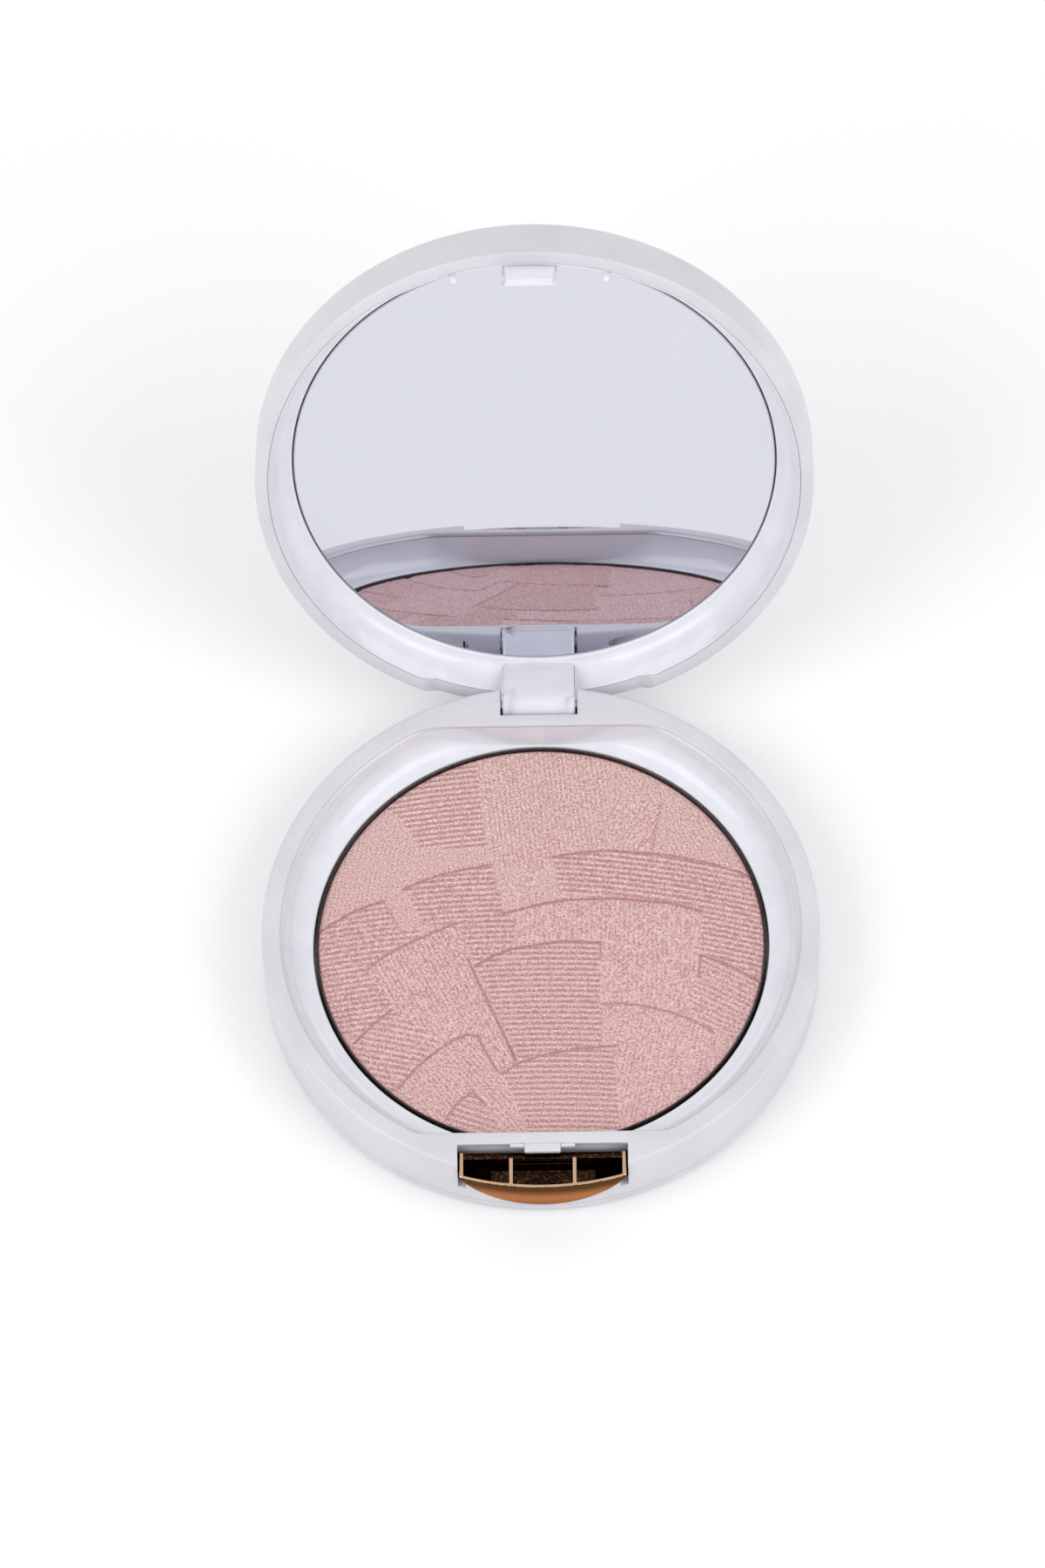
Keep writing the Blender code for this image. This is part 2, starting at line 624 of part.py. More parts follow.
def make_button(slider):
    half = BUTTON_WIDTH / 2
    plate = PLATE_WIDTH / 2
    plate_low = COVER_EDGE + COVER_LIP_HEIGHT + SEAT_GAP * 2
    plate_top = FLANGE_UNDER - SEAT_GAP
    window = HOOK_WIDTH / 2 + SEAT_GAP
    window_low = HOOK_TIP - SEAT_GAP * 2
    body = prism(half_moon(0, half, BUTTON_TOP + PLAY), -REACH, CATCH_FRONT + CATCH_DEPTH, "Y")
    button = add_object("push_button", body, "copper_plate", slider)
    limit = half - BUTTON_END_WALL
    steps = [
        ("INTERSECT", face_cylinder()),
        ("UNION", box((-plate, PLATE_FRONT, plate_low), (plate, PLATE_REAR, plate_top))),
        ("DIFFERENCE", compartment(-limit, -window - RIB_THICK)),
        ("DIFFERENCE", compartment(-window, window)),
        ("DIFFERENCE", compartment(window + RIB_THICK, limit)),
        ("DIFFERENCE", box((-window, CATCH_FRONT - PLAY, window_low), (window, REACH, CATCH_UNDER))),
    ]
    for side in (-1, 1):
        seat_start = PLATE_REAR - PLATE_SEAT_DEPTH
        seat = rod("Y", (side * SPRING_X, SPRING_Z), SPRING_RADIUS + PLAY / 2, seat_start, REACH)
        steps.append(("DIFFERENCE", seat))
    shape(button, steps)
    return button


def compartment(low, high, steps=6):
    """Hollow between two walls, open at the top, behind the curved front wall."""
    inner_wall = CASE_RADIUS + BUTTON_PROUD - BUTTON_WALL
    built = bmesh.new()
    rows = []
    for step in range(steps + 1):
        x = low + (high - low) * step / steps
        floor = max(BUTTON_FLOOR, moon_height(x, -BUTTON_WALL))
        front = -math.sqrt(inner_wall ** 2 - x ** 2)
        section = [(CATCH_FRONT, floor), (front, floor), (front, REACH), (CATCH_FRONT, REACH)]
        rows.append([built.verts.new((x, y, z)) for y, z in section])
    for left, right in zip(rows, rows[1:]):
        for side in range(4):
            following = (side + 1) % 4
            built.faces.new((left[side], left[following], right[following], right[side]))
    built.faces.new(rows[0])
    built.faces.new(list(reversed(rows[-1])))
    return built


def make_spring(name, x):
    """Compression coil between the tray's seat and the button's plate, axis along Y."""
    wire = SPRING_WIRE / 2
    start = TRAY_FRONT + SEAT_DEPTH - SNUG_GAP - wire
    end = PLATE_REAR - PLATE_SEAT_DEPTH + SNUG_GAP + wire
    coil = SPRING_RADIUS - wire
    sides = 6
    steps = int(SPRING_TURNS * 16)
    built = bmesh.new()
    rows = []
    for step in range(steps + 1):
        part = step / steps
        turn = 2 * math.pi * SPRING_TURNS * part
        out = Vector((math.cos(turn), 0, math.sin(turn)))
        middle = Vector((x, start + (end - start) * part, SPRING_Z)) + out * coil
        row = []
        for side in range(sides):
            around = 2 * math.pi * side / sides
            row.append(built.verts.new(middle + (out * math.cos(around) + Vector((0, math.sin(around), 0))) * wire))
        rows.append(row)
    for lower, upper in zip(rows, rows[1:]):
        for side in range(sides):
            following = (side + 1) % sides
            built.faces.new((lower[side], lower[following], upper[following], upper[side]))
    built.faces.new(rows[0])
    built.faces.new(list(reversed(rows[-1])))
    return add_object(name, built, "steel")


def main():
    clear_scene()
    make_bottom_cover()
    make_base_shell()
    make_tray()
    make_pan()
    make_powder()
    make_glue()
    make_pin()
    pivot = hinge_empty()
    make_lid_shell(pivot)
    make_mirror_frame(pivot)
    make_mirror(pivot)
    make_mirror_pad(pivot)
    slider = button_empty()
    make_button(slider)
    make_spring("button_spring_left", -SPRING_X)
    make_spring("button_spring_right", SPRING_X)
    bpy.context.view_layer.update()


main()
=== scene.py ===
import json
import math

import bmesh
import bpy
import numpy as np
from mathutils import Matrix, Vector


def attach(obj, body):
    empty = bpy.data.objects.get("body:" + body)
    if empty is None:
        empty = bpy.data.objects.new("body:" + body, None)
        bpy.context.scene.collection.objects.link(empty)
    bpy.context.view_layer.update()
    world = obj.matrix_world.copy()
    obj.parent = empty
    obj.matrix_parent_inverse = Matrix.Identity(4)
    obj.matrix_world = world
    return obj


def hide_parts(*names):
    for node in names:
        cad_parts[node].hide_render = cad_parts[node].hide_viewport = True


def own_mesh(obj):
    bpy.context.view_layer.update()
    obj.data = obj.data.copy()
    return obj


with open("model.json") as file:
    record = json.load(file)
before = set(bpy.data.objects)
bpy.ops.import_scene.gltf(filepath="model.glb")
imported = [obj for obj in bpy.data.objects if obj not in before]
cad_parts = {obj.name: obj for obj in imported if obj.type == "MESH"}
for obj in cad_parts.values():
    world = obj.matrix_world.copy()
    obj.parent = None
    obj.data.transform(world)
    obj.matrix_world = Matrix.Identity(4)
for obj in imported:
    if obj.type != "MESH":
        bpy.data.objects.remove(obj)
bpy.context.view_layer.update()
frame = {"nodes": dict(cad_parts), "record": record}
scene = bpy.context.scene
mm = 0.001
print("frame loaded")

# the lid's joint says where the hinge is and how far the lid leans back
joints = {joint["name"]: joint for joint in frame["record"]["behaviour"]["joints"]}
hinge = Vector(joints["lid_hinge"]["pos_m"]) / mm
leanBack = math.radians(joints["lid_hinge"]["range_deg"][1])
lidOpen = Matrix.Translation(hinge) @ Matrix.Rotation(-leanBack, 4, "X") @ Matrix.Translation(-hinge)


# lowest and highest corner of a CAD node in mm; lid nodes can be asked for as if shut
def corners(node, shut=False):
    turn = lidOpen.inverted() if shut else Matrix.Identity(4)
    points = np.array([turn @ (v.co / mm) for v in frame["nodes"][node].data.vertices])
    return Vector(points.min(0)), Vector(points.max(0))


coverHigh = corners("bottom_cover")[1]
shellLow, shellHigh = corners("base_shell")
trayLow = corners("inner_tray")[0]
panLow, panHigh = corners("powder_pan")
cakeLow = corners("powder_cake")[0]
buttonLow, buttonHigh = corners("push_button")
lidLow, lidHigh = corners("lid_shell", True)
mirrorLow, mirrorHigh = corners("mirror", True)
caseRadius = coverHigh.x
landHeight = shellHigh.z
farOut = 60.0        # mm; cutters run this far, well past the case


def linear(hexText):
    values = [int(hexText[i:i + 2], 16) / 255 for i in (1, 3, 5)]
    return tuple(v / 12.92 if v <= 0.04045 else ((v + 0.055) / 1.055) ** 2.4 for v in values) + (1.0,)


# adds one node, sets its inputs or properties, and links sockets or whole nodes into its inputs
def addNode(tree, kind, settings=None, links=None):
    node = tree.nodes.new(kind)
    for key, value in (settings or {}).items():
        if isinstance(key, str) and hasattr(node, key):
            setattr(node, key, value)
        else:
            node.inputs[key].default_value = value
    for key, source in (links or {}).items():
        tree.links.new(source.outputs[0] if hasattr(source, "outputs") else source, node.inputs[key])
    return node


# each noise is given by the size of its grains in mm and its detail
def startMaterial(name, *noises):
    made = bpy.data.materials.new(name)
    made.use_nodes = True
    tree = made.node_tree
    place = addNode(tree, "ShaderNodeTexCoord").outputs["Object"]
    found = [addNode(tree, "ShaderNodeTexNoise", {"Scale": 1 / (size * mm), "Detail": detail},
            {"Vector": place})
             for size, detail in noises]
    return made, tree, place, *found


# links what varies over the surface and sets what is the same all over it
def finishMaterial(made, links, values):
    shader = made.node_tree.nodes["Principled BSDF"]
    for key, source in links.items():
        made.node_tree.links.new(source.outputs[0] if hasattr(source, "outputs") else source,
                shader.inputs[key])
    for key, value in values.items():
        shader.inputs[key].default_value = value
    return made


# colour ramp between two hex colours, driven by a value socket
def tint(tree, source, low, high, start=0.0, end=1.0):
    ramp = addNode(tree, "ShaderNodeValToRGB", links={"Fac": source})
    ramp.color_ramp.elements[0].position = start
    ramp.color_ramp.elements[1].position = end
    ramp.color_ramp.elements[0].color = linear(low)
    ramp.color_ramp.elements[1].color = linear(high)
    return ramp.outputs["Color"]


satinLook = {
    "light": "#D3D2D8",
    "shade": "#CBCAD0",
    "flakeMm": 0.25,     # pearl flakes are 0.02 mm; drawn coarser so that they show
    "roughness": 0.38,
}


# moulded ABS sprayed with a white pearl lacquer: soft broad highlights, a faint cool mottle
def pearlLacqueredAbs():
    made, tree, place, flakes, cloud = startMaterial("pearlLacqueredAbs", (satinLook["flakeMm"], 2.0), (9, 1.0))
    both = addNode(tree, "ShaderNodeMath", {"operation": "MULTIPLY"}, {0: flakes, 1: cloud})
    colour = tint(tree, both, satinLook["shade"], satinLook["light"], 0.15, 0.35)
    bump = addNode(tree, "ShaderNodeBump", {"Strength": 0.05, "Distance": 0.02 * mm}, {"Height": flakes})
    return finishMaterial(made, {"Base Color": colour, "Normal": bump},
            {"Roughness": satinLook["roughness"], "IOR": 1.52, "Coat Weight": 0.35, "Coat Roughness": 0.22})


glossLook = {
    "light": "#E5E5EC",
    "shade": "#E0E0E8",
    "roughness": 0.16,
    "ripple": 0.02,
}


# moulded ABS straight from a polished tool: clear reflections of what is near it
def polishedWhiteAbs():
    made, tree, place, flow = startMaterial("polishedWhiteAbs", (4, 2.0))
    colour = tint(tree, flow, glossLook["shade"], glossLook["light"], 0.35, 0.65)
    bump = addNode(tree, "ShaderNodeBump", {"Strength": glossLook["ripple"], "Distance": 0.1 * mm},
            {"Height": flow})
    return finishMaterial(made, {"Base Color": colour, "Normal": bump},
            {"Roughness": glossLook["roughness"], "IOR": 1.54})


copperLook = {
    "edge": "#DDB795",    # painted highlight along the top edges
    "browShade": "#4E3526",    # painted dark band below them
    "brightReflection": "#B4754A",
    "darkReflection": "#8E5A33",
    "pocketShade": "#33221A",  # painted shade down in the pockets, where the plating also thins out
    "fleck": "#7C5A38",
    "grazing": "#E9D2C0",
    "speckMm": 0.35,      # orange peel of the plated skin
    "roughness": 0.17,
}


# ABS metallised in vacuum under a copper-tinted lacquer: mirror-like, warm and a little wavy
def copperMetallisedAbs():
    made, tree, place, peel = startMaterial("copperMetallisedAbs", (copperLook["speckMm"], 3.0))
    spot = addNode(tree, "ShaderNodeSeparateXYZ", links={0: place})
    height = addNode(tree, "ShaderNodeMapRange", {1: buttonLow.z * mm, 2: buttonHigh.z * mm, 4: 0.97},
            {"Value": spot.outputs["Z"]})
    wobble = addNode(tree, "ShaderNodeMath", {"operation": "MULTIPLY_ADD", 1: 0.06}, {0: peel, 2: height})
    ramp = addNode(tree, "ShaderNodeValToRGB", links={"Fac": wobble})
    # the colour follows height: painted reflection, dark low on the crescent and bright higher up, then a
    # painted dark band under the top and a painted highlight on the top edge
    stops = [(0.05, "darkReflection"), (0.35, "brightReflection"), (0.5, "brightReflection"), (0.8, "browShade"), (1.0, "browShade"), (1.012, "edge")]
    for position, name in stops:
        stop = ramp.color_ramp.elements.new(position / 1.03)
        stop.color = linear(copperLook[name])
    for spare in (ramp.color_ramp.elements[-1], ramp.color_ramp.elements[0]):
        ramp.color_ramp.elements.remove(spare)
    # painted shade: behind the front wall and below the top the plating colour gives way to a dark pocket
    # colour, which also stands for the thinner plating there
    pocketShadeColour = tint(tree, peel, copperLook["pocketShade"], copperLook["fleck"], 0.5, 0.75)
    flat = addNode(tree, "ShaderNodeCombineXYZ", links={"X": spot.outputs["X"], "Y": spot.outputs["Y"]})
    reach = addNode(tree, "ShaderNodeVectorMath", {"operation": "LENGTH"}, {0: flat})
    behind = addNode(tree, "ShaderNodeMapRange", {1: (caseRadius + 0.1) * mm, 2: caseRadius * mm, 3: 0.0,
            4: 1.0}, {"Value": reach.outputs["Value"]})
    below = addNode(tree, "ShaderNodeMapRange", {1: (buttonHigh.z - 0.12) * mm, 2: (buttonHigh.z - 0.4) * mm,
            3: 0.0, 4: 1.0}, {"Value": spot.outputs["Z"]})
    pocketShade = addNode(tree, "ShaderNodeMath", {"operation": "MULTIPLY"}, {0: behind, 1: below})
    both = addNode(tree, "ShaderNodeMix", {"data_type": "RGBA"}, {0: pocketShade, 6: ramp, 7: pocketShadeColour})
    bump = addNode(tree, "ShaderNodeBump", {"Strength": 0.25, "Distance": 0.04 * mm}, {"Height": peel})
    return finishMaterial(made, {"Base Color": both.outputs[2], "Normal": bump},
            {"Metallic": 1.0, "Specular Tint": linear(copperLook["grazing"]),
            "Roughness": copperLook["roughness"]})


# float glass silvered on its back: a true, slightly cool reflection with a ground edge
def silveredGlass():
    made, tree, place, haze = startMaterial("silveredGlass", (30, 1.0))
    colour = tint(tree, haze, "#D2D3DD", "#D5D6E0", 0.3, 0.7)
    return finishMaterial(made, {"Base Color": colour}, {"Metallic": 1.0, "Roughness": 0.015})


powderLook = {
    "warm": "#EBD0CA",
    "rose": "#E7C8C6",
    "paintedShade": "#AB7877",
    "grainMm": 0.24,     # milled grains are 0.01 mm; drawn coarser so that they show
    "cloudMm": 7.0,
    "roughness": 0.5,
}


# milled talc and mica pressed in a ribbed die: matt body with a fine satin shimmer on the ribs
def pressedShimmerPowder():
    made, tree, place, grain, cloud = startMaterial("pressedShimmerPowder", (powderLook["grainMm"], 2.0),
            (powderLook["cloudMm"], 2.0))
    across = addNode(tree, "ShaderNodeSeparateXYZ", links={0: place})
    rear = addNode(tree, "ShaderNodeMapRange", {1: 5 * mm, 2: 29 * mm}, {"Value": across.outputs["Y"]})
    warmth = addNode(tree, "ShaderNodeMath", {"operation": "MULTIPLY_ADD", 1: 0.5}, {0: cloud, 2: rear})
    body = tint(tree, warmth, powderLook["rose"], powderLook["warm"], 0.15, 0.95)
    # painted shade: rib valleys, fine panels and creases darken towards the shade colour by the attribute the
    # cake carries; the grain speckles darken towards the same colour
    low = addNode(tree, "ShaderNodeAttribute", {"attribute_name": "paintedShade"})
    speckle = addNode(tree, "ShaderNodeMapRange", {1: 0.32, 2: 0.68, 3: 0.75, 4: -0.2}, {"Value": grain})
    depth = addNode(tree, "ShaderNodeMath", {"operation": "ADD", "use_clamp": True},
            {0: low.outputs["Fac"], 1: speckle})
    mixed = addNode(tree, "ShaderNodeMix", {"data_type": "RGBA", 7: linear(powderLook["paintedShade"])},
            {0: depth, 6: body})
    bump = addNode(tree, "ShaderNodeBump", {"Strength": 0.35, "Distance": 0.06 * mm}, {"Height": grain})
    return finishMaterial(made, {"Base Color": mixed.outputs[2], "Normal": bump},
            {"Roughness": powderLook["roughness"], "Sheen Weight": 0.25, "Sheen Roughness": 0.4})


# drawn tinplate: dull grey with fine drawing marks
def drawnTinplate():
    made, tree, place = startMaterial("drawnTinplate")
    streak = addNode(tree, "ShaderNodeMapping", {"Scale": (1.0, 1.0, 0.2)}, {"Vector": place})
    marks = addNode(tree, "ShaderNodeTexNoise", {"Scale": 1 / (0.3 * mm), "Detail": 2.0}, {"Vector": streak})
    colour = tint(tree, marks, "#3E3634", "#574C49", 0.3, 0.7)
    return finishMaterial(made, {"Base Color": colour}, {"Metallic": 1.0, "Roughness": 0.38})


# bright drawn spring wire
def drawnSteelWire():
    made, tree, place, marks = startMaterial("drawnSteelWire", (0.2, 2.0))
    colour = tint(tree, marks, "#9A9A9C", "#C4C4C8", 0.3, 0.7)
    return finishMaterial(made, {"Base Color": colour}, {"Metallic": 1.0, "Roughness": 0.25})


# closed-cell foam tape: soft white with fine cells
def foamTape():
    made, tree, place = startMaterial("foamTape")
    cells = addNode(tree, "ShaderNodeTexVoronoi", {"Scale": 1 / (0.3 * mm)}, {"Vector": place})
    colour = tint(tree, cells, "#E6E5DF", "#CFCDC5", 0.1, 0.9)
    bump = addNode(tree, "ShaderNodeBump", {"Strength": 0.4, "Distance": 0.05 * mm}, {"Height": cells})
    return finishMaterial(made, {"Base Color": colour, "Normal": bump}, {"Roughness": 0.85})


satin = pearlLacqueredAbs()
gloss = polishedWhiteAbs()
copper = copperMetallisedAbs()
silvered = silveredGlass()
shimmer = pressedShimmerPowder()
tin = drawnTinplate()
wire = drawnSteelWire()
foam = foamTape()
print("materials ready")


# everything is drawn in mm and scaled once at the end
def arcPoints(centre, radius, start, end, steps):
    turns = [math.radians(start + (end - start) * i / steps) for i in range(steps + 1)]
    return [(centre[0] + radius * math.cos(a), centre[1] + radius * math.sin(a)) for a in turns]


def makeObject(name, mesh, finish):
    mesh.materials.clear()
    mesh.materials.append(finish)
    mesh.name = name
    made = bpy.data.objects.new(name, mesh)
    scene.collection.objects.link(made)
    return made


def meshFrom(built):
    bmesh.ops.recalc_face_normals(built, faces=built.faces[:])
    mesh = bpy.data.meshes.new("work")
    built.to_mesh(mesh)
    built.free()
    return mesh


def settled(thing):
    graph = bpy.context.evaluated_depsgraph_get()
    return bpy.data.meshes.new_from_object(thing.evaluated_get(graph))


def throwAway(*things):
    for thing in things:
        bpy.data.objects.remove(thing, do_unlink=True)


def boxShape(low, high):
    built = bmesh.new()
    bmesh.ops.create_cube(built, size=1.0)
    size, middle = Vector(high) - Vector(low), (Vector(high) + Vector(low)) / 2
    for corner in built.verts:
        corner.co = Vector(a * b for a, b in zip(corner.co, size)) + middle
    return built


# straight prism along X or Y between two levels
def prismShape(outline, low, high, axis):
    built = bmesh.new()
    ends = []
    for level in (low, high):
        points = [(p[0], level, p[1]) if axis == "Y" else (level, p[0], p[1]) for p in outline]
        ends.append([built.verts.new(point) for point in points])
    built.faces.new(ends[0])
    built.faces.new(list(reversed(ends[1])))
    for i in range(len(outline)):
        j = (i + 1) % len(outline)
        built.faces.new((ends[0][i], ends[0][j], ends[1][j], ends[1][i]))
    return built


def rodShape(axis, centre, radius, low, high, steps=64):
    return prismShape(arcPoints(centre, radius, 0, 360 - 360 / steps, steps - 1), low, high, axis)


# rounds the edges round both end faces of a prism along X
def softEnds(built, half, size):
    edges = [e for e in built.edges if all(abs(abs(v.co.x) - half) < 1e-6 for v in e.verts)]
    bmesh.ops.bevel(built, geom=edges, offset=size, segments=5, profile=0.5, affect="EDGES")
    return built


# closed skin through rings of equal length; a ring of one point closes the shape
def ringSkin(rings, loop):
    built = bmesh.new()
    rows = [[built.verts.new(point) for point in ring] for ring in rings]
    pairs = list(zip(rows, rows[1:])) + ([(rows[-1], rows[0])] if loop else [])
    count = max(len(row) for row in rows)
    for lower, upper in pairs:
        for i in range(count):
            j = (i + 1) % count
            if len(lower) == 1:
                built.faces.new((lower[0], upper[i], upper[j]))
            elif len(upper) == 1:
                built.faces.new((lower[i], upper[0], lower[j]))
            else:
                built.faces.new((lower[i], lower[j], upper[j], upper[i]))
    return built


# exact cuts and joins in order, then every sharp edge gets a small moulded round
def carve(mesh, steps, edgeRound=0.12, sharpness=38):
    target = makeObject("carving", mesh, satin)
    tools = []
    for operation, built in steps:
        tool = makeObject("tool", meshFrom(built), satin)
        step = target.modifiers.new(operation, "BOOLEAN")
        step.operation = operation
        step.solver = "EXACT"
        step.object = tool
        tools.append(tool)
    weld = target.modifiers.new("weld", "WELD")
    weld.merge_threshold = 0.015
    if edgeRound:
        bevel = target.modifiers.new("round", "BEVEL")
        bevel.width = edgeRound
        bevel.segments = 2
        bevel.limit_method = "ANGLE"
        bevel.angle_limit = math.radians(sharpness)
        bevel.use_clamp_overlap = False
        bevel.miter_outer = "MITER_ARC"
    made = settled(target)
    throwAway(target, *tools)
    return made


def cleanMesh(mesh, weldWidth, move):
    built = bmesh.new()
    built.from_mesh(mesh)
    bmesh.ops.remove_doubles(built, verts=built.verts[:], dist=weldWidth)
    bmesh.ops.recalc_face_normals(built, faces=built.faces[:])
    built.transform(move)
    built.to_mesh(mesh)
    built.free()
    return mesh


# scales to metres, opens lid pieces, and hands the piece to the frame
def finishPiece(name, mesh, finish, body, nodes, lid=False, crease=38):
    cleanMesh(mesh, 0.002, Matrix.Scale(mm, 4) @ (lidOpen if lid else Matrix.Identity(4)))
    mesh.shade_smooth()
    mesh.set_sharp_from_angle(angle=math.radians(crease))
    made = makeObject(name, mesh, finish)
    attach(made, body)
    if nodes:
        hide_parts(*nodes)
    return made


# a tree with a geometry coming in and one going out, and named inputs for its sizes
def startTree(name, inputs):
    tree = bpy.data.node_groups.new(name, "GeometryNodeTree")
    for title, kind in {"Geometry": "Geometry", **inputs, "Finish": "Material"}.items():
        tree.interface.new_socket(title, in_out="INPUT", socket_type="NodeSocket" + kind)
    tree.interface.new_socket("Geometry", in_out="OUTPUT", socket_type="NodeSocketGeometry")
    return tree, addNode(tree, "NodeGroupInput").outputs


def finishTree(tree, start, geometry):
    real = addNode(tree, "GeometryNodeRealizeInstances", links={"Geometry": geometry})
    done = addNode(tree, "GeometryNodeSetMaterial", links={"Geometry": real, "Material": start["Finish"]})
    addNode(tree, "NodeGroupOutput", links={"Geometry": done})
    return tree


# a turned piece follows one rule: an outline carried round the axis
def turnedTree():
    tree, start = startTree("turnedPiece", {"Steps Round": "Int"})
    count = addNode(tree, "GeometryNodeAttributeDomainSize", links={"Geometry": start["Geometry"]})
    columns = addNode(tree, "ShaderNodeMath", {"operation": "ADD", 1: 1.0}, {0: start["Steps Round"]})
    grid = addNode(tree, "GeometryNodeMeshGrid", {"Size X": 1.0, "Size Y": 1.0},
            {"Vertices X": columns, "Vertices Y": count})
    index = addNode(tree, "GeometryNodeInputIndex")
    along = addNode(tree, "ShaderNodeMath", {"operation": "MODULO"}, {0: index, 1: count})
    share = addNode(tree, "ShaderNodeMath", {"operation": "DIVIDE"}, {0: index, 1: count})
    column = addNode(tree, "ShaderNodeMath", {"operation": "FLOOR"}, {0: share})
    part = addNode(tree, "ShaderNodeMath", {"operation": "DIVIDE"}, {0: column, 1: start["Steps Round"]})
    turn = addNode(tree, "ShaderNodeMath", {"operation": "MULTIPLY", 1: 2 * math.pi}, {0: part})
    here = addNode(tree, "GeometryNodeInputPosition")
    point = addNode(tree, "GeometryNodeSampleIndex", {"data_type": "FLOAT_VECTOR", "domain": "POINT"},
            {"Geometry": start["Geometry"], "Value": here, "Index": along})
    turned = addNode(tree, "ShaderNodeVectorRotate", {"rotation_type": "Z_AXIS"},
            {"Vector": point, "Angle": turn})
    placed = addNode(tree, "GeometryNodeSetPosition", links={"Geometry": grid, "Position": turned})
    joined = addNode(tree, "GeometryNodeMergeByDistance", {"Distance": 0.0005}, {"Geometry": placed})
    return finishTree(tree, start, joined)


def runTree(tree, mesh, values):
    carrier = bpy.data.objects.new("carrier", mesh)
    scene.collection.objects.link(carrier)
    step = carrier.modifiers.new("nodes", "NODES")
    step.node_group = tree
    for item in tree.interface.items_tree:
        if item.in_out == "INPUT" and item.name in values:
            step[item.identifier] = values[item.name]
    made = settled(carrier)
    throwAway(carrier)
    return made


turnedPiece = turnedTree()


# outline: radius and height pairs; a closed one comes back to its first point
def turnedMesh(outline, finish, closed=False, steps=288):
    points = [(r, 0, h) for r, h in outline] + ([(outline[0][0], 0, outline[0][1])] if closed else [])
    profile = bpy.data.meshes.new("outline")
    profile.from_pydata(points, [(i, i + 1) for i in range(len(points) - 1)], [])
    mesh = runTree(turnedPiece, profile, {"Steps Round": steps, "Finish": finish})
    return cleanMesh(mesh, 0.001, Matrix.Identity(4))


# sizes in mm, as in every dictionary below
case = {
    "wall": caseRadius - 34.9,
    "seamGap": 0.12,
    "flange": 0.6,
    "landRound": 0.55,
    "innerRound": 0.3,
    "baseRound": 2.0,
    "seamRound": 0.12,
    "lipHeight": 0.7,
    "lipGap": 0.3,
    "lipWall": 1.0,
    "floor": 1.3,
    "steps": 288,
}

well = {
    "radius": caseRadius - 2.5,
    "front": caseRadius - 6.63,
    "rear": caseRadius - 6.0,
    "frontCorner": 4.0,
    "rearCorner": 9.0,
    "draft": 0.5,
}


# distance from the centre to the well's edge: a circle cut straight front and rear
def wellReach(angle, inset, radius, front, rear):
    behind = math.sin(angle) >= 0
    side = (rear if behind else front) - inset
    corner = (well["rearCorner"] if behind else well["frontCorner"]) - inset
    radius = radius - inset
    across, along = abs(math.cos(angle)), abs(math.sin(angle))
    if side >= radius:
        return radius
    centreAlong = side - corner
    centreAcross = math.sqrt((radius - corner) ** 2 - centreAlong ** 2)
    if along * centreAcross >= across * side:
        return side / along
    if along * centreAcross <= across * centreAlong:
        return radius
    middle = across * centreAcross + along * centreAlong
    return middle + math.sqrt(middle ** 2 - (centreAcross ** 2 + centreAlong ** 2 - corner ** 2))


def circleRing(radius, height):
    turns = [2 * math.pi * i / case["steps"] for i in range(case["steps"])]
    return [(radius * math.cos(a), radius * math.sin(a), height) for a in turns]


def wellRing(height, inset=0.0, radius=None, front=None, rear=None):
    ring = []
    for i in range(case["steps"]):
        a = 2 * math.pi * i / case["steps"]
        reach = wellReach(a, inset, radius or well["radius"], front or well["front"], rear or well["rear"])
        ring.append((reach * math.cos(a), reach * math.sin(a), height))
    return ring


seamHeight = shellLow.z - 0.25 + case["seamGap"] / 2
flangeUnder = landHeight - case["flange"]
shellBore = caseRadius - case["wall"]

latch = {
    "buttonHalf": 10.75,
    "openingHalf": 11.0,
    "notchWidth": 1.05,
    "notchLow": 4.9,
    "shoulder": 7.2,
    "moonLow": 3.3,
    "moonHalf": 9.3,
    "moonGap": 0.22,
    "pocketRear": 4.84 - caseRadius,
    "plateHalf": 12.3,
    "recessFront": -33.5,
    "recessRear": -20.0,
    "tongueHalf": 2.33,
    "tongueReach": 1.15,
    "ledgeHalf": 4.2,
}

button = {
    "proudTop": 0.95,
    "proudLow": 0.3,
    "wall": 0.32,
    "endWall": 0.5,
    "rearDrop": 0.75,
    "rib": 0.5,
    "floor": 5.5,
    "windowHalf": 3.85,
    "catchFront": -33.0,
    "catchDepth": 0.65,
    "plateHalf": 11.8,
    "plateFront": -33.31,
    "plateRear": -32.06,
    "plateLow": 3.6,
    "plateTop": landHeight - 1.4,
    "springX": 8.5,
    "springZ": 6.2,
    "seatRadius": 1.325,
    "seatDepth": 0.7,
    "windowLow": 7.4,
    "windowHigh": 8.7,
}

hingeLook = {
    "knuckleHalf": 4.8,
    "knuckleRadius": 2.05,
    "knuckleRound": 0.6,
    "slotHalf": 5.1,
    "slotFront": hinge.y - 2.3,
    "sill": 6.2,
    "bossHalf": 9.6,
    "bossDrop": 2.35,
    "pinRadius": 0.85,
}


def moonHeight(x, offset):
    half, rise = latch["moonHalf"], latch["shoulder"] - latch["moonLow"]
    radius = (half ** 2 + rise ** 2) / (2 * rise)
    return latch["moonLow"] + radius - math.sqrt((radius + offset) ** 2 - x ** 2)


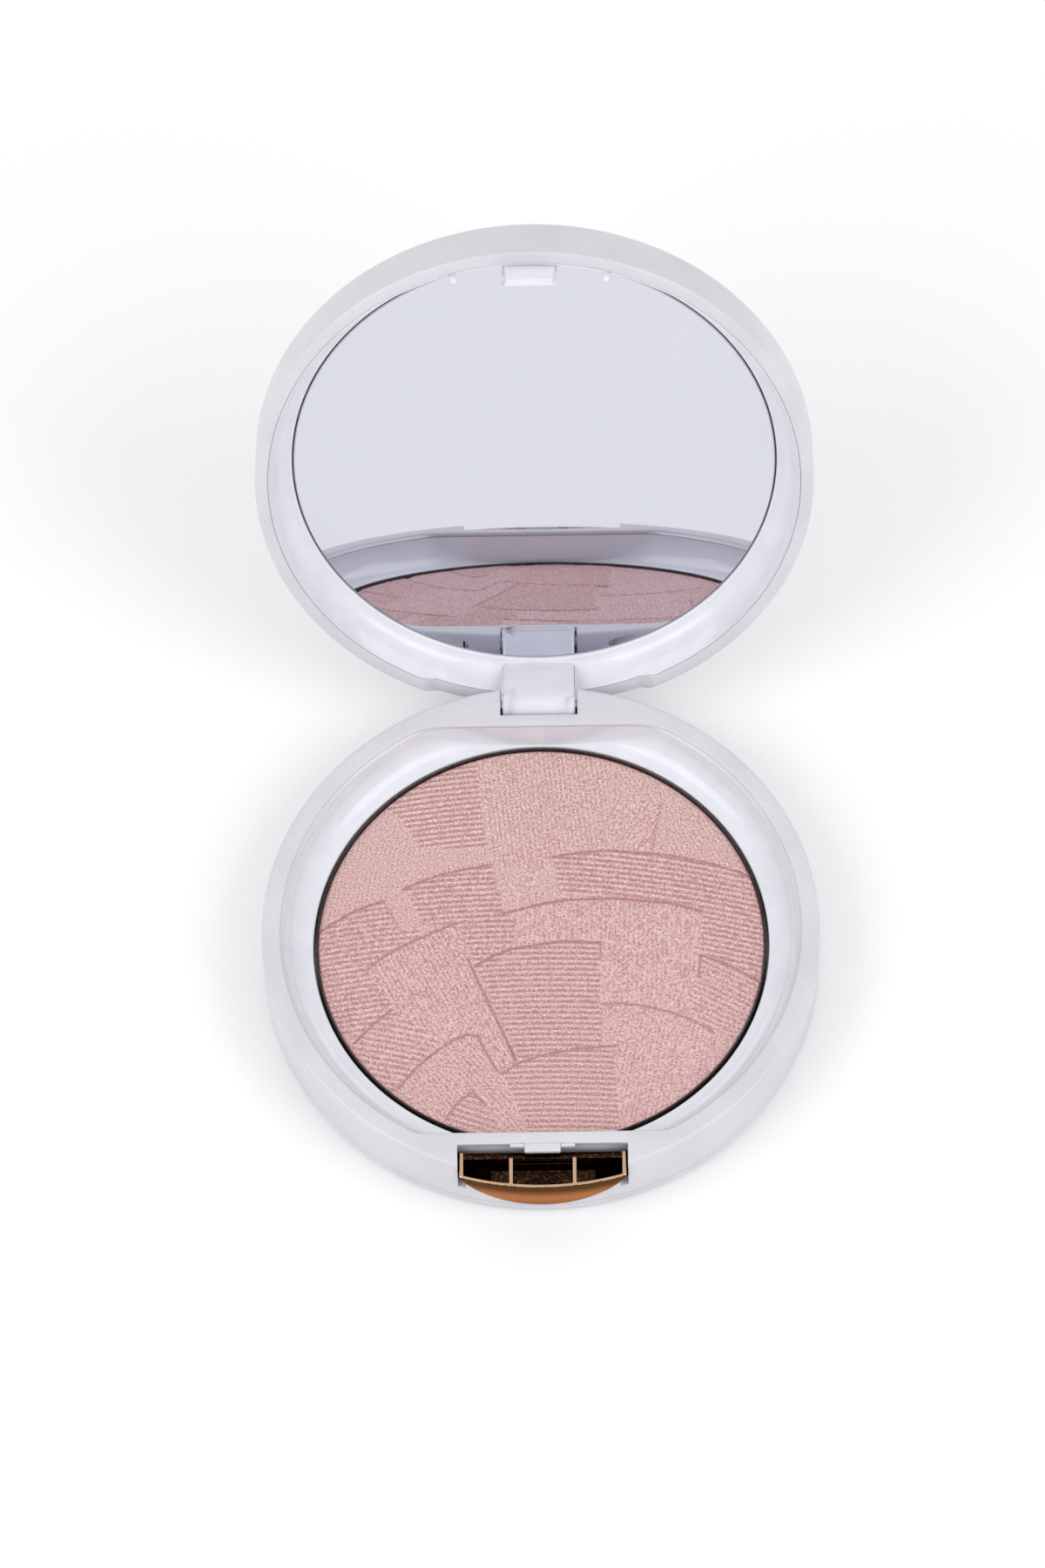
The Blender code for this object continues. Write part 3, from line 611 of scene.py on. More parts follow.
def makeBottomCover():
    lipOuter, lipTop, floor = shellBore - case["lipGap"], seamHeight + case["lipHeight"], case["floor"]
    lipInner = lipOuter - case["lipWall"]
    outline = [(0, 0), (caseRadius - case["baseRound"] - 1.0, 0)]
    outline += arcPoints((caseRadius - case["baseRound"], case["baseRound"]), case["baseRound"], -90, -4, 12)
    outline += [(caseRadius, seamHeight - 0.15), (caseRadius - case["seamRound"], seamHeight),
            (lipOuter, seamHeight), (lipOuter, lipTop), (lipInner, lipTop), (lipInner, floor), (0, floor)]
    mesh = turnedMesh(outline, satin)
    return finishPiece("bottomCover", mesh, satin, "base", ["bottom_cover"])


def makeBaseShell():
    bottom = seamHeight + case["seamGap"]
    soft = case["seamRound"]
    rings = [circleRing(shellBore, bottom), circleRing(caseRadius - soft, bottom),
            circleRing(caseRadius, bottom + soft)]
    lr, ir = case["landRound"], case["innerRound"]
    for radius, height in arcPoints((caseRadius - lr, landHeight - lr), lr, 0, 90, 8):
        rings.append(circleRing(radius, height))
    for i in range(5):
        turn = math.radians(90 * i / 4)
        rings.append(wellRing(landHeight - ir * (1 - math.cos(turn)), -ir * (1 - math.sin(turn))))
    rings.append(wellRing(flangeUnder, 0.0, well["radius"] - well["draft"]))
    rings.append(circleRing(shellBore, flangeUnder))
    notch = latch["openingHalf"] - latch["notchWidth"]
    across = [-notch + 2 * notch * i / 60 for i in range(61)]
    opening, foot = latch["openingHalf"], latch["notchLow"]
    outline = [(-notch, foot)] + [(x, moonHeight(x, latch["moonGap"])) for x in across]
    outline += [(notch, foot), (opening, foot), (opening, farOut), (-opening, farOut), (-opening, foot)]
    rear = latch["pocketRear"]
    plate = latch["plateHalf"]
    boss = hingeLook["bossHalf"]
    slot = hingeLook["slotHalf"]
    trayRear = well["rear"] + 1.0
    steps = [
        ("UNION", boxShape((-boss, trayRear + 0.3, hinge.z - hingeLook["bossDrop"]),
            (boss, caseRadius - 1.6, flangeUnder + 0.2))),
        ("DIFFERENCE", boxShape((-slot, hingeLook["slotFront"], hingeLook["sill"]), (slot, farOut, farOut))),
        ("DIFFERENCE", boxShape((-slot, trayRear, hingeLook["sill"]), (slot, hinge.y, flangeUnder))),
        ("DIFFERENCE", rodShape("X", (hinge.y, hinge.z), hingeLook["pinRadius"], -boss - 0.5, farOut)),
        ("DIFFERENCE", prismShape(outline, -farOut, rear, "Y")),
        ("DIFFERENCE", boxShape((-plate, latch["recessFront"], bottom - 1),
            (plate, latch["recessRear"], button["plateTop"] + 0.3))),
        ("UNION", boxShape((-latch["tongueHalf"], rear - latch["tongueReach"], buttonHigh.z + 0.3),
            (latch["tongueHalf"], rear + 0.3, landHeight - 0.05))),
        ("UNION", boxShape((-latch["ledgeHalf"], rear - 0.4, buttonHigh.z + 0.3),
            (latch["ledgeHalf"], rear + 0.3, landHeight - 0.1))),
    ]
    mesh = carve(meshFrom(ringSkin(rings, True)), steps, 0.1)
    return finishPiece("baseShell", mesh, satin, "base", ["base_shell"])


tray = {
    "panBore": panHigh.x + 0.35,
    "floor": panHigh.z - 0.3,
    "foot": 0.2,
    "coveSteps": 20,
    "topGap": 0.06,
    "bodyGap": 0.35,
    "frontGap": 0.25,
    "skirt": 2.9,
    "cupWall": 1.0,
    "cupDepth": 0.65,
}


def makeTray():
    bore, floorZ = tray["panBore"], tray["floor"]
    cup = panLow.z - tray["cupDepth"]
    rings = [[(0, 0, cup)], circleRing(bore, cup), circleRing(bore, floorZ - 0.15),
            circleRing(bore + 0.05, floorZ - 0.04), circleRing(bore + 0.15, floorZ)]
    foot = bore + tray["foot"]
    top = flangeUnder - tray["topGap"]
    edge = well["radius"] - well["draft"] - 0.03
    for i in range(tray["coveSteps"] + 1):
        turn = math.pi / 2 * i / tray["coveSteps"]
        out, rise = math.sin(turn), 1 - math.cos(turn)
        rings.append(wellRing(floorZ + (top - floorZ) * rise, 0.0, foot + (edge - foot) * out,
                foot + (well["front"] - foot) * out, foot + (well["rear"] - foot) * out))
    for height in (top, trayLow.z + tray["skirt"]):
        rings.append(wellRing(height, 0.0, shellBore - tray["bodyGap"], -latch["pocketRear"] - tray["frontGap"],
                              well["rear"] + 1.0))
    rings += [circleRing(bore + tray["cupWall"], trayLow.z + tray["skirt"]),
              circleRing(bore + tray["cupWall"], trayLow.z), [(0, 0, trayLow.z)]]
    springs = [("DIFFERENCE", rodShape("Y", (side * button["springX"], button["springZ"]), button["seatRadius"],
            -farOut, latch["pocketRear"] + button["seatDepth"])) for side in (-1, 1)]
    mesh = carve(meshFrom(ringSkin(rings, False)), springs, 0)
    return finishPiece("innerTray", mesh, gloss, "base", ["inner_tray"], crease=50)


pan = {
    "wall": 0.2,
    "bottomRound": 0.6,
}


def makePan():
    outer, wall, corner = panHigh.x, pan["wall"], pan["bottomRound"]
    outline = [(0, panLow.z), (outer - corner, panLow.z)]
    outline += arcPoints((outer - corner, panLow.z + corner), corner, -90, 0, 6)
    outline += arcPoints((outer - wall / 2, panHigh.z - wall / 2), wall / 2, 0, 180, 6)
    outline += [(outer - wall, panLow.z + wall), (0, panLow.z + wall)]
    return finishPiece("powderPan", turnedMesh(outline, tin), tin, "base", ["powder_pan"])


makeBottomCover()
makeBaseShell()
makeTray()
makePan()
print("base built")


# overlapping ribbed panels pressed into the cake, like strips laid on each other
powder = {
    "radius": panHigh.x - 0.22,
    "spacing": 0.17,
    "ribPitch": 0.8,
    "finePitch": 0.62,
    "ribHeight": 0.085,
    "stepHeight": 0.13,
    "grooveDepth": 0.2,
    "grooveWidth": 0.23,
    "edgeRound": 0.25,
    "fadeWidth": 0.3,       # ribs die out this near a panel's border
    "bow": 0.004,           # the long ribs bow a little
    "middleLevel": 2.2,
    "levelShare": 0.55,
    "rimDrop": 1.2,
    "belowRim": 0.45,
    "fineStrength": 0.65,
    "valleyShade": 0.66,    # how far a colour goes towards the painted shade colour, 0 to 1
    "evenShade": 0.2,
    "creaseShade": 0.95,
}

# outline in mm, direction of the ribs in degrees, fine ribs or not, strength, level
panels = {
    "upperLeft": ([(-22, 22), (-18.7, 19.2), (-15.8, 14.6), (-7.0, 14.6), (-8.2, 27.6), (-9, 30), (-18, 26)], 0,
        False, 1.0, 1.0),
    "topMiddle": ([(-9, 30), (-8.2, 27.6), (-7.0, 14.6), (-6.4, 12.3), (0.5, 10), (1.5, 13.3), (9.5, 14.1),
        (9.5, 22.4), (10, 30)], 96, True, 0.6, 1.5),
    "smallUpperRight": ([(9.5, 22.4), (16.0, 21.1), (14.6, 13.9), (8.9, 14.3)], 62, True, 0.6, 1.9),
    "steepRight": ([(10, 30), (9.5, 22.4), (16.0, 21.1), (14.6, 13.5), (26.5, 10.4), (30, 9), (24, 20)], 118,
        True, 0.5, 1.2),
    "farLeft": ([(-30, 3), (-28.6, 2.9), (-20.6, 7.1), (-18.1, 8.7), (-15.8, 14.6), (-18.7, 19.2), (-22, 22),
        (-30, 12)], 80, True, 0.4, 0.7),
    "longBand": ([(1.5, 13.3), (5.5, 13.9), (9.5, 14.1), (16.9, 13.3), (22, 12.1), (26.5, 10.4), (31, 8),
        (31, -5), (27.6, -5.3), (20.8, -1.7), (21.1, 4.8), (16.9, 6.1), (2.4, 7.4)], -4, False, 1.0, 2.3),
    "squarePatch": ([(-5.3, 10.7), (-0.2, 10.4), (0.5, 6.1), (-5.0, 6.2)], 45, True, 0.1, 1.9),
    "innerLeft": ([(-18.1, 8.7), (-15.4, 10.0), (-12.7, 11.0), (-6.4, 12.3), (-5.6, 8.5), (-4.7, 5.0),
        (-3.0, 3.8), (-3.6, -0.4), (-9.0, -3.0), (-12, 3), (-15.5, 3.2)], -3, False, 1.0, 2.2),
    "leftArc": ([(-31, 0), (-28.6, 2.9), (-24.8, 5.4), (-20.6, 7.1), (-18.4, 2.5), (-15.5, 3.2), (-19.5, -9.2),
        (-24.1, -13.4), (-30, -13)], -3, False, 0.9, 1.9),
    "centreRight": ([(-3.0, 5.2), (0, 6.2), (3.2, 6.8), (9.5, 6.9), (16.9, 6.1), (21.1, 4.8), (20.8, -1.7),
        (19.1, -7.9), (19.7, -11.4), (13.4, -9.2), (7.8, -8.8), (7.8, 0.3), (2.6, 0.6), (-3.6, -0.4)], 88, True,
        0.4, 2.5),
    "smallRight": ([(20.8, -1.7), (24.3, -3.2), (28.6, -5.9), (30, -9), (25, -14.5), (22.5, -13.4),
        (19.7, -11.4), (19.1, -7.9)], -20, False, 0.6, 3.0),
    "lowerRight": ([(7.8, -8.8), (10.6, -8.8), (13.4, -9.2), (16.6, -10.1), (19.7, -11.4), (22.5, -13.4),
        (27, -16), (18, -26), (9.8, -30), (9.5, -15.0)], 78, True, 0.5, 3.1),
    "centre": ([(-8.7, -3.0), (-6.3, -1.4), (-3.6, -0.4), (2.6, 0.6), (7.8, 0.3), (7.8, -15.4), (-3.0, -17.3)],
        -1, False, 1.0, 3.0),
    "tilted": ([(-22.9, -3.3), (-20.5, -1.2), (-17, 0.8), (-14, 2.3), (-11.0, 3.5), (-3.0, -18.6), (-8, -19),
        (-15.5, -14.1), (-19.5, -8.5)], -64, True, 0.7, 2.9),
    "lowerLeft": ([(-27, -16), (-24.1, -13.7), (-22, -11.3), (-19.5, -9.2), (-13.3, -14.1), (-18.7, -21.2),
        (-20, -23)], -22, False, 0.8, 2.5),
    "bottomCentre": ([(-5.3, -18.9), (-2.9, -17.3), (-0.1, -16.3), (4.5, -15.4), (9.5, -15.0), (10.2, -30),
        (-1.0, -30)], -1, False, 1.0, 3.5),
    "lowerLeftFan": ([(-18.7, -20.9), (-16.8, -18.3), (-14.4, -16.0), (-11.8, -14.0), (-9.0, -12.7),
        (-7.2, -14.2), (-5.3, -18.9), (-1.0, -30), (-16, -30)], -52, True, 0.7, 3.3),
    "smallBottom": ([(-12.6, -25.5), (-11, -23), (-9.0, -21.5), (-5.9, -25.8), (-4, -30), (-12, -30)], -25,
        False, 0.8, 3.9),
}

# pressed creases between panels, in mm, with their strength
creases = [
    ([(1.2, 13.2), (5.5, 13.9), (9.5, 14.1), (16.9, 13.3), (22, 12.1), (26.5, 10.4), (29, 9.2)], 0.9),
    ([(-5.0, 5.0), (-3.0, 5.4), (0, 6.2), (3.2, 6.8), (9.5, 6.9), (16.9, 6.1), (21.1, 4.8)], 1.0),
    ([(-8.7, -3.0), (-6.3, -1.4), (-3.6, -0.4), (2.6, 0.6), (7.8, 0.3)], 1.0),
    ([(7.8, -8.8), (10.6, -8.8), (13.4, -9.2), (16.6, -10.1), (19.7, -11.4), (22.5, -13.4)], 0.8),
    ([(-18.1, 8.7), (-15.4, 10.0), (-12.7, 11.0), (-6.4, 12.3)], 0.9),
    ([(-29, 2.6), (-24.8, 5.4), (-20.6, 7.1)], 1.0),
    ([(-20.6, 7.1), (-18.4, 2.5)], 0.5),
    ([(-22.9, -3.3), (-20.5, -1.2), (-17, 0.8), (-14, 2.3), (-11.0, 3.5)], 0.9),
    ([(-9.6, -2.0), (-3.4, -17.0)], 0.9),
    ([(-24.6, -14.2), (-22, -11.3), (-19.5, -9.2)], 0.9),
    ([(-18.7, -20.9), (-16.8, -18.3), (-14.4, -16.0), (-11.8, -14.0), (-9.6, -13.0), (-8.3, -13.4),
      (-7.6, -15.2), (-5.8, -18.6)], 0.9),
    ([(-5.3, -18.9), (-2.9, -17.3), (-0.1, -16.3), (4.5, -15.4), (9.5, -15.0)], 0.9),
    ([(-12.6, -25.5), (-11, -23), (-9.0, -21.5), (-7.4, -23.5)], 0.9),
    ([(20.6, -5), (20.8, -1.7), (24.3, -3.2), (28.6, -5.9)], 0.9),
    ([(16.0, 21.1), (14.6, 13.9)], 0.6),
    ([(7.8, 0.3), (7.8, -2.5)], 0.6),
]


def insideOutline(x, y, outline):
    inside = np.zeros(len(x), bool)
    for (x1, y1), (x2, y2) in zip(outline, outline[1:] + outline[:1]):
        if y1 == y2:
            continue
        crosses = (y1 > y) != (y2 > y)
        inside ^= crosses & (x < (x2 - x1) * (y - y1) / (y2 - y1) + x1)
    return inside


def nearLine(x, y, line, closed=False):
    best = np.full(len(x), 1e9)
    ends = line[1:] + (line[:1] if closed else [])
    for (x1, y1), (x2, y2) in zip(line, ends):
        dx, dy = x2 - x1, y2 - y1
        t = np.clip(((x - x1) * dx + (y - y1) * dy) / (dx * dx + dy * dy), 0, 1)
        best = np.minimum(best, np.hypot(x - x1 - t * dx, y - y1 - t * dy))
    return best


# evenly spaced points in rings of six, seven ... so that the cake's edge is a true circle
def discMesh(radius, spacing, top, low):
    rings = int(radius / spacing)
    points, faces, first = [(0.0, 0.0, top)], [], [0]
    for ring in range(1, rings + 1):
        first.append(len(points))
        for i in range(6 * ring):
            a = 2 * math.pi * i / (6 * ring)
            points.append((radius * ring / rings * math.cos(a), radius * ring / rings * math.sin(a), top))
    for ring in range(rings):
        inner, outer = 6 * ring, 6 * (ring + 1)
        for side in range(6):
            for i in range(ring + 1):
                a = first[ring] + (side * ring + i) % max(inner, 1)
                b = first[ring + 1] + (side * (ring + 1) + i) % outer
                c = first[ring + 1] + (side * (ring + 1) + i + 1) % outer
                faces.append((a, b, c))
                if i < ring:
                    faces.append((a, c, first[ring] + (side * ring + i + 1) % inner))
    count = 6 * rings
    edge = first[rings]
    base = len(points)
    points += [(x, y, low) for x, y, z in points[edge:edge + count]]
    for i in range(count):
        j = (i + 1) % count
        faces.append((edge + i, base + i, base + j, edge + j))
    faces.append(tuple(base + i for i in reversed(range(count))))
    mesh = bpy.data.meshes.new("cake")
    mesh.from_pydata(points, [], faces)
    return mesh, base


# each line is one sum: its name, what it does, and the values or earlier sums that go in
ribSums = [
    ("notFine", "SUBTRACT", 1.0, "fine"),
    ("coarsePitch", "MULTIPLY", "Rib Pitch", "notFine"),
    ("finePitch", "MULTIPLY", "Fine Rib Pitch", "fine"),
    ("pitch", "ADD", "coarsePitch", "finePitch"),
    ("ribsAcross", "DIVIDE", "across", "pitch"),
    ("turn", "MULTIPLY", "ribsAcross", 2 * math.pi),
    ("cosine", "COSINE", "turn", None),
    ("raisedCosine", "ADD", "cosine", 1.0),
    ("wave", "MULTIPLY", "raisedCosine", 0.5),
    ("crest", "POWER", "wave", 1.4),
    ("strongCrest", "MULTIPLY", "crest", "strength"),
    ("ribs", "MULTIPLY", "strongCrest", "Rib Height"),
    ("steps", "MULTIPLY", "level", "Step Height"),
    ("crease", "MULTIPLY", "groove", "Groove Depth"),
    ("high", "ADD", "ribs", "steps"),
    ("lift", "SUBTRACT", "high", "crease"),
    # from here the sums paint shade into the rib valleys, the fine panels and the creases
    ("valley", "SUBTRACT", 1.0, "crest"),
    ("valleyShade", "MULTIPLY", "strength", powder["valleyShade"]),
    ("furrow", "MULTIPLY", "valley", "valleyShade"),
    ("smooth", "SUBTRACT", 1.0, "strength"),
    ("evenShade", "MULTIPLY", "smooth", powder["evenShade"]),
    ("shade", "ADD", "furrow", "evenShade"),
    ("creaseShade", "MULTIPLY", "groove", powder["creaseShade"]),
    ("paintedShade", "MAXIMUM", "shade", "creaseShade"),
]


def powderTree():
    sizes = ("Rib Pitch", "Fine Rib Pitch", "Rib Height", "Step Height", "Groove Depth")
    tree, start = startTree("ribbedCake", {name: "Float" for name in sizes})
    values = {name: start[name] for name in sizes}
    for name in ("level", "strength", "fine", "groove", "across"):
        values[name] = addNode(tree, "GeometryNodeInputNamedAttribute", {"data_type": "FLOAT", "Name": name})
    for name, operation, a, b in ribSums:
        fixed = {i: term for i, term in enumerate((a, b)) if isinstance(term, float)}
        linked = {i: values[term] for i, term in enumerate((a, b)) if isinstance(term, str)}
        values[name] = addNode(tree, "ShaderNodeMath", {"operation": operation, **fixed}, linked)
    offset = addNode(tree, "ShaderNodeCombineXYZ", links={"Z": values["lift"]})
    raised = addNode(tree, "GeometryNodeSetPosition", links={"Geometry": start["Geometry"], "Offset": offset})
    kept = addNode(tree, "GeometryNodeStoreNamedAttribute",
            {"data_type": "FLOAT", "domain": "POINT", "Name": "paintedShade"},
            {"Geometry": raised, "Value": values["paintedShade"]})
    return finishTree(tree, start, kept)


def makePowder():
    top = panHigh.z - powder["belowRim"]
    mesh, base = discMesh(powder["radius"], powder["spacing"], top, cakeLow.z)
    co = np.zeros(len(mesh.vertices) * 3)
    mesh.vertices.foreach_get("co", co)
    x, y = co[0::3], co[1::3]
    level, angle = np.full(len(x), 1.0), np.full(len(x), 90.0)
    strength, fine, edge = np.full(len(x), 0.3), np.ones(len(x)), np.full(len(x), 9.0)
    for outline, direction, isFine, force, height in panels.values():
        inside = insideOutline(x, y, outline)
        border = nearLine(x, y, outline, True)
        level[inside], angle[inside], strength[inside] = height, direction, force
        fine[inside] = float(isFine)
        edge[inside] = border[inside]
        outside = ~inside
        edge[outside] = np.minimum(edge[outside], border[outside])
    groove = np.zeros(len(x))
    for line, force in creases:
        groove = np.maximum(groove, force * np.exp(-(nearLine(x, y, line) / powder["grooveWidth"]) ** 2))
    radians = np.radians(angle + 90)
    bow = powder["bow"] * (x - 2) ** 2
    across = x * np.cos(radians) + (y + np.where(fine < 0.5, bow, 0.0)) * np.sin(radians)
    rim = np.clip((powder["radius"] - np.hypot(x, y)) / powder["edgeRound"], 0, 1)
    strength = strength * np.clip(edge / powder["fadeWidth"], 0, 1) * rim
    level = (level - powder["middleLevel"]) * powder["levelShare"] - (1 - rim) ** 2 * powder["rimDrop"]
    strength = strength * np.where(fine > 0.5, powder["fineStrength"], 1.0)
    values = {"level": level, "strength": strength, "fine": fine, "groove": groove * rim, "across": across}
    for name, data in values.items():
        data = np.array(data, np.float32)
        data[base:] = 0.0
        made = mesh.attributes.new(name, "FLOAT", "POINT")
        made.data.foreach_set("value", data)
    mesh = runTree(powderTree(), mesh, {
        "Rib Pitch": powder["ribPitch"], "Fine Rib Pitch": powder["finePitch"],
        "Rib Height": powder["ribHeight"], "Step Height": powder["stepHeight"],
        "Groove Depth": powder["grooveDepth"], "Finish": shimmer})
    return finishPiece("pressedPowder", mesh, shimmer, "base", ["powder_cake"], crease=60)


makePowder()
print("powder pressed")


lid = {
    "rim": lidLow.z,
    "edge": 2.5,
    "crown": 0.5,
    "bore": caseRadius - 1.7,
    "rimRound": 0.35,
    "boreRound": 0.15,
    "innerTop": lidHigh.z - 1.8,
    "reliefHalf": 15.2,
    "reliefDepth": 1.2,
    "frameRadius": caseRadius - 1.74,
    "frameLow": 0.04,
    "lipProud": 0.14,    # small raised lip that holds the mirror
    "coveSteps": 20,
}


def reliefCutter():
    half, depth = lid["reliefHalf"], lid["reliefDepth"]
    top = lid["rim"] + depth
    outline = [(-half, lid["rim"]), (-half + depth * 1.5, top), (half - depth * 1.5, top), (half, lid["rim"]),
            (half, 0), (-half, 0)]
    return prismShape(outline, caseRadius / 2, farOut, "Y")


armTop = lidHigh.z - lid["crown"] - lid["edge"] - 0.6


def makeLidShell():
    back = lidHigh.z - lid["crown"]
    flat = caseRadius - lid["edge"]
    radius = (flat ** 2 + lid["crown"] ** 2) / (2 * lid["crown"])
    spread = math.degrees(math.asin(flat / radius))
    outline = [(0, lidHigh.z)] + arcPoints((0, lidHigh.z - radius), radius, 90, 90 - spread, 16)[1:-1]
    outline += arcPoints((flat, back - lid["edge"]), lid["edge"], 90, 0, 14)
    outer, inner = lid["rimRound"], lid["boreRound"]
    outline += arcPoints((caseRadius - outer, lid["rim"] + outer), outer, 0, -90, 5)
    outline += arcPoints((lid["bore"] + inner, lid["rim"] + inner), inner, -90, -180, 3)
    outline += [(lid["bore"], lid["innerTop"]), (0, lid["innerTop"])]
    half = hingeLook["knuckleHalf"] + 0.3
    cutter = boxShape((-half, hinge.y - hingeLook["knuckleRadius"], 0), (half, farOut, armTop + 0.3))
    mesh = carve(turnedMesh(outline, satin), [("DIFFERENCE", reliefCutter()), ("DIFFERENCE", cutter)], 0.1)
    return finishPiece("lidShell", mesh, satin, "lid", ["lid_shell"], lid=True)


hook = {
    "half": 3.55,
    "outer": 2.2 - caseRadius,
    "thick": 0.8,
    "tip": 8.0,
    "reach": 0.5,
    "lip": 0.6,
    "nubX": 9.8,
    "nub": 0.4,
}


def hookShape():
    root = lid["rim"] + 2.6
    inner = hook["outer"] + hook["thick"]
    tip = hook["tip"]
    outline = [(hook["outer"], root), (hook["outer"], tip), (inner + hook["reach"] / 2, tip),
            (inner + hook["reach"], tip + hook["lip"] / 2), (inner + hook["reach"], tip + hook["lip"]),
            (inner, tip + hook["lip"]), (inner, root)]
    built = prismShape(outline, -hook["half"], hook["half"], "X")
    for corner in built.verts:
        if corner.co.z < tip + hook["lip"] / 4:
            corner.co.x -= math.copysign(hook["lip"], corner.co.x)
    return built


def makeMirrorFrame():
    bore = mirrorHigh.x + 0.2
    low = lid["rim"] + lid["frameLow"]
    face = mirrorLow.z
    lip = face - lid["lipProud"]
    foot, edge = bore + 0.4, lid["frameRadius"] - 0.12
    outline = [(lid["frameRadius"], low + 0.1), (lid["frameRadius"], lid["innerTop"] - 0.3),
            (bore, lid["innerTop"] - 0.3), (bore, face), (bore + 0.25, lip + 0.02), (bore + 0.33, lip)]
    for i in range(lid["coveSteps"] + 1):
        turn = math.pi / 2 * i / lid["coveSteps"]
        outline.append((foot + (edge - foot) * math.sin(turn), lip - (lip - low) * (1 - math.cos(turn))))
    half, round_ = hingeLook["knuckleHalf"], hingeLook["knuckleRadius"]
    rear = caseRadius - 0.25
    arm = arcPoints((hinge.y, hinge.z), round_, 180, 360, 30)[:-1]
    arm += [(rear, hinge.z), (rear, armTop), (hinge.y - round_, armTop)]
    steps = [("DIFFERENCE", reliefCutter()), ("UNION", softEnds(prismShape(arm, -half, half, "X"), half,
            hingeLook["knuckleRound"])), ("DIFFERENCE", rodShape("X", (hinge.y, hinge.z),
            hingeLook["pinRadius"], -farOut, farOut)), ("UNION", hookShape())]
    for side in (-1, 1):
        x, size = side * hook["nubX"], hook["nub"]
        front = -math.sqrt((lid["frameRadius"] - 0.05) ** 2 - (hook["nubX"] + size) ** 2)
        steps.append(("UNION", boxShape((x - size, front, buttonHigh.z + 0.25),
                (x + size, front + 2 * size, lid["rim"] + 2.6))))
    mesh = carve(turnedMesh(outline, gloss, closed=True), steps, 0.14, 45)
    return finishPiece("mirrorFrame", mesh, gloss, "lid", ["mirror_frame"], lid=True, crease=50)


def makeMirror():
    low, high, radius = mirrorLow.z, mirrorHigh.z, mirrorHigh.x
    ground = 0.15        # ground edge of the glass
    outline = [(0, low), (radius - ground, low), (radius, low + ground), (radius, high), (0, high)]
    return finishPiece("mirrorGlass", turnedMesh(outline, silvered), silvered, "lid",
            ["mirror"], lid=True, crease=20)


makeLidShell()
makeMirrorFrame()
makeMirror()
print("lid built")


# hollow between two walls, open at the top, behind the curved front
def compartment(low, high, steps=16):
    inner = caseRadius + button["proudTop"] - button["wall"]
    built = bmesh.new()
    rows = []
    for i in range(steps + 1):
        x = low + (high - low) * i / steps
        bottom = max(button["floor"], moonHeight(x, -button["wall"]))
        front = -math.sqrt(inner ** 2 - x ** 2)
        rear = button["catchFront"]
        section = ((rear, bottom), (front, bottom), (front, farOut), (rear, farOut))
        rows.append([built.verts.new((x, y, z)) for y, z in section])
    for left, right in zip(rows, rows[1:]):
        for i in range(4):
            j = (i + 1) % 4
            built.faces.new((left[i], left[j], right[j], right[i]))
    built.faces.new(rows[0])
    built.faces.new(list(reversed(rows[-1])))
    return built


def makeButton():
    half, top = latch["buttonHalf"], buttonHigh.z
    across = [-half + 2 * half * i / 60 for i in range(61)]
    outline = [(-half, top + 1)] + [(x, moonHeight(x, 0)) for x in across] + [(half, top + 1)]
    body = meshFrom(prismShape(outline, -farOut, button["catchFront"] + button["catchDepth"], "Y"))
    low, high = caseRadius + button["proudLow"], caseRadius + button["proudTop"]
    face = [(0, latch["moonLow"] - 1), (low, latch["moonLow"] - 1)]
    for i in range(13):
        part = i / 12
        face.append((low + (high - low) * math.sin(part * math.pi / 2),
                latch["moonLow"] + (top - 0.12 - latch["moonLow"]) * part))
    face += [(high - 0.04, top - 0.03), (high - 0.14, top), (0, top)]
    rings = [circleRing(r, h) if r else [(0, 0, h)] for r, h in face]
    window, limit = button["windowHalf"], half - button["endWall"]
    steps = [
        ("INTERSECT", ringSkin(rings, False)),
        ("UNION", boxShape((-button["plateHalf"], button["plateFront"], button["plateLow"]),
            (button["plateHalf"], button["plateRear"], button["plateTop"]))),
        ("DIFFERENCE", compartment(-limit, -window - button["rib"])),
        ("DIFFERENCE", compartment(-window, window)),
        ("DIFFERENCE", compartment(window + button["rib"], limit)),
        ("DIFFERENCE", boxShape((-window, button["catchFront"] - 0.5, button["windowLow"]),
            (window, farOut, button["windowHigh"]))),
        ("DIFFERENCE", boxShape((-limit, button["catchFront"] - 0.2, top - button["rearDrop"]),
            (limit, farOut, farOut))),
    ]
    for side in (-1, 1):
        steps.append(("DIFFERENCE", rodShape("Y", (side * button["springX"], button["springZ"]),
                button["seatRadius"], button["plateRear"] - button["seatDepth"], farOut)))
    mesh = carve(body, steps, 0.09)
    return finishPiece("pushButton", mesh, copper, "button", ["push_button"])


coil = {
    "turns": 2.5,
    "radius": 1.05,
    "wire": 0.3,
    "stepsPerTurn": 40,
    "wireSides": 10,
}


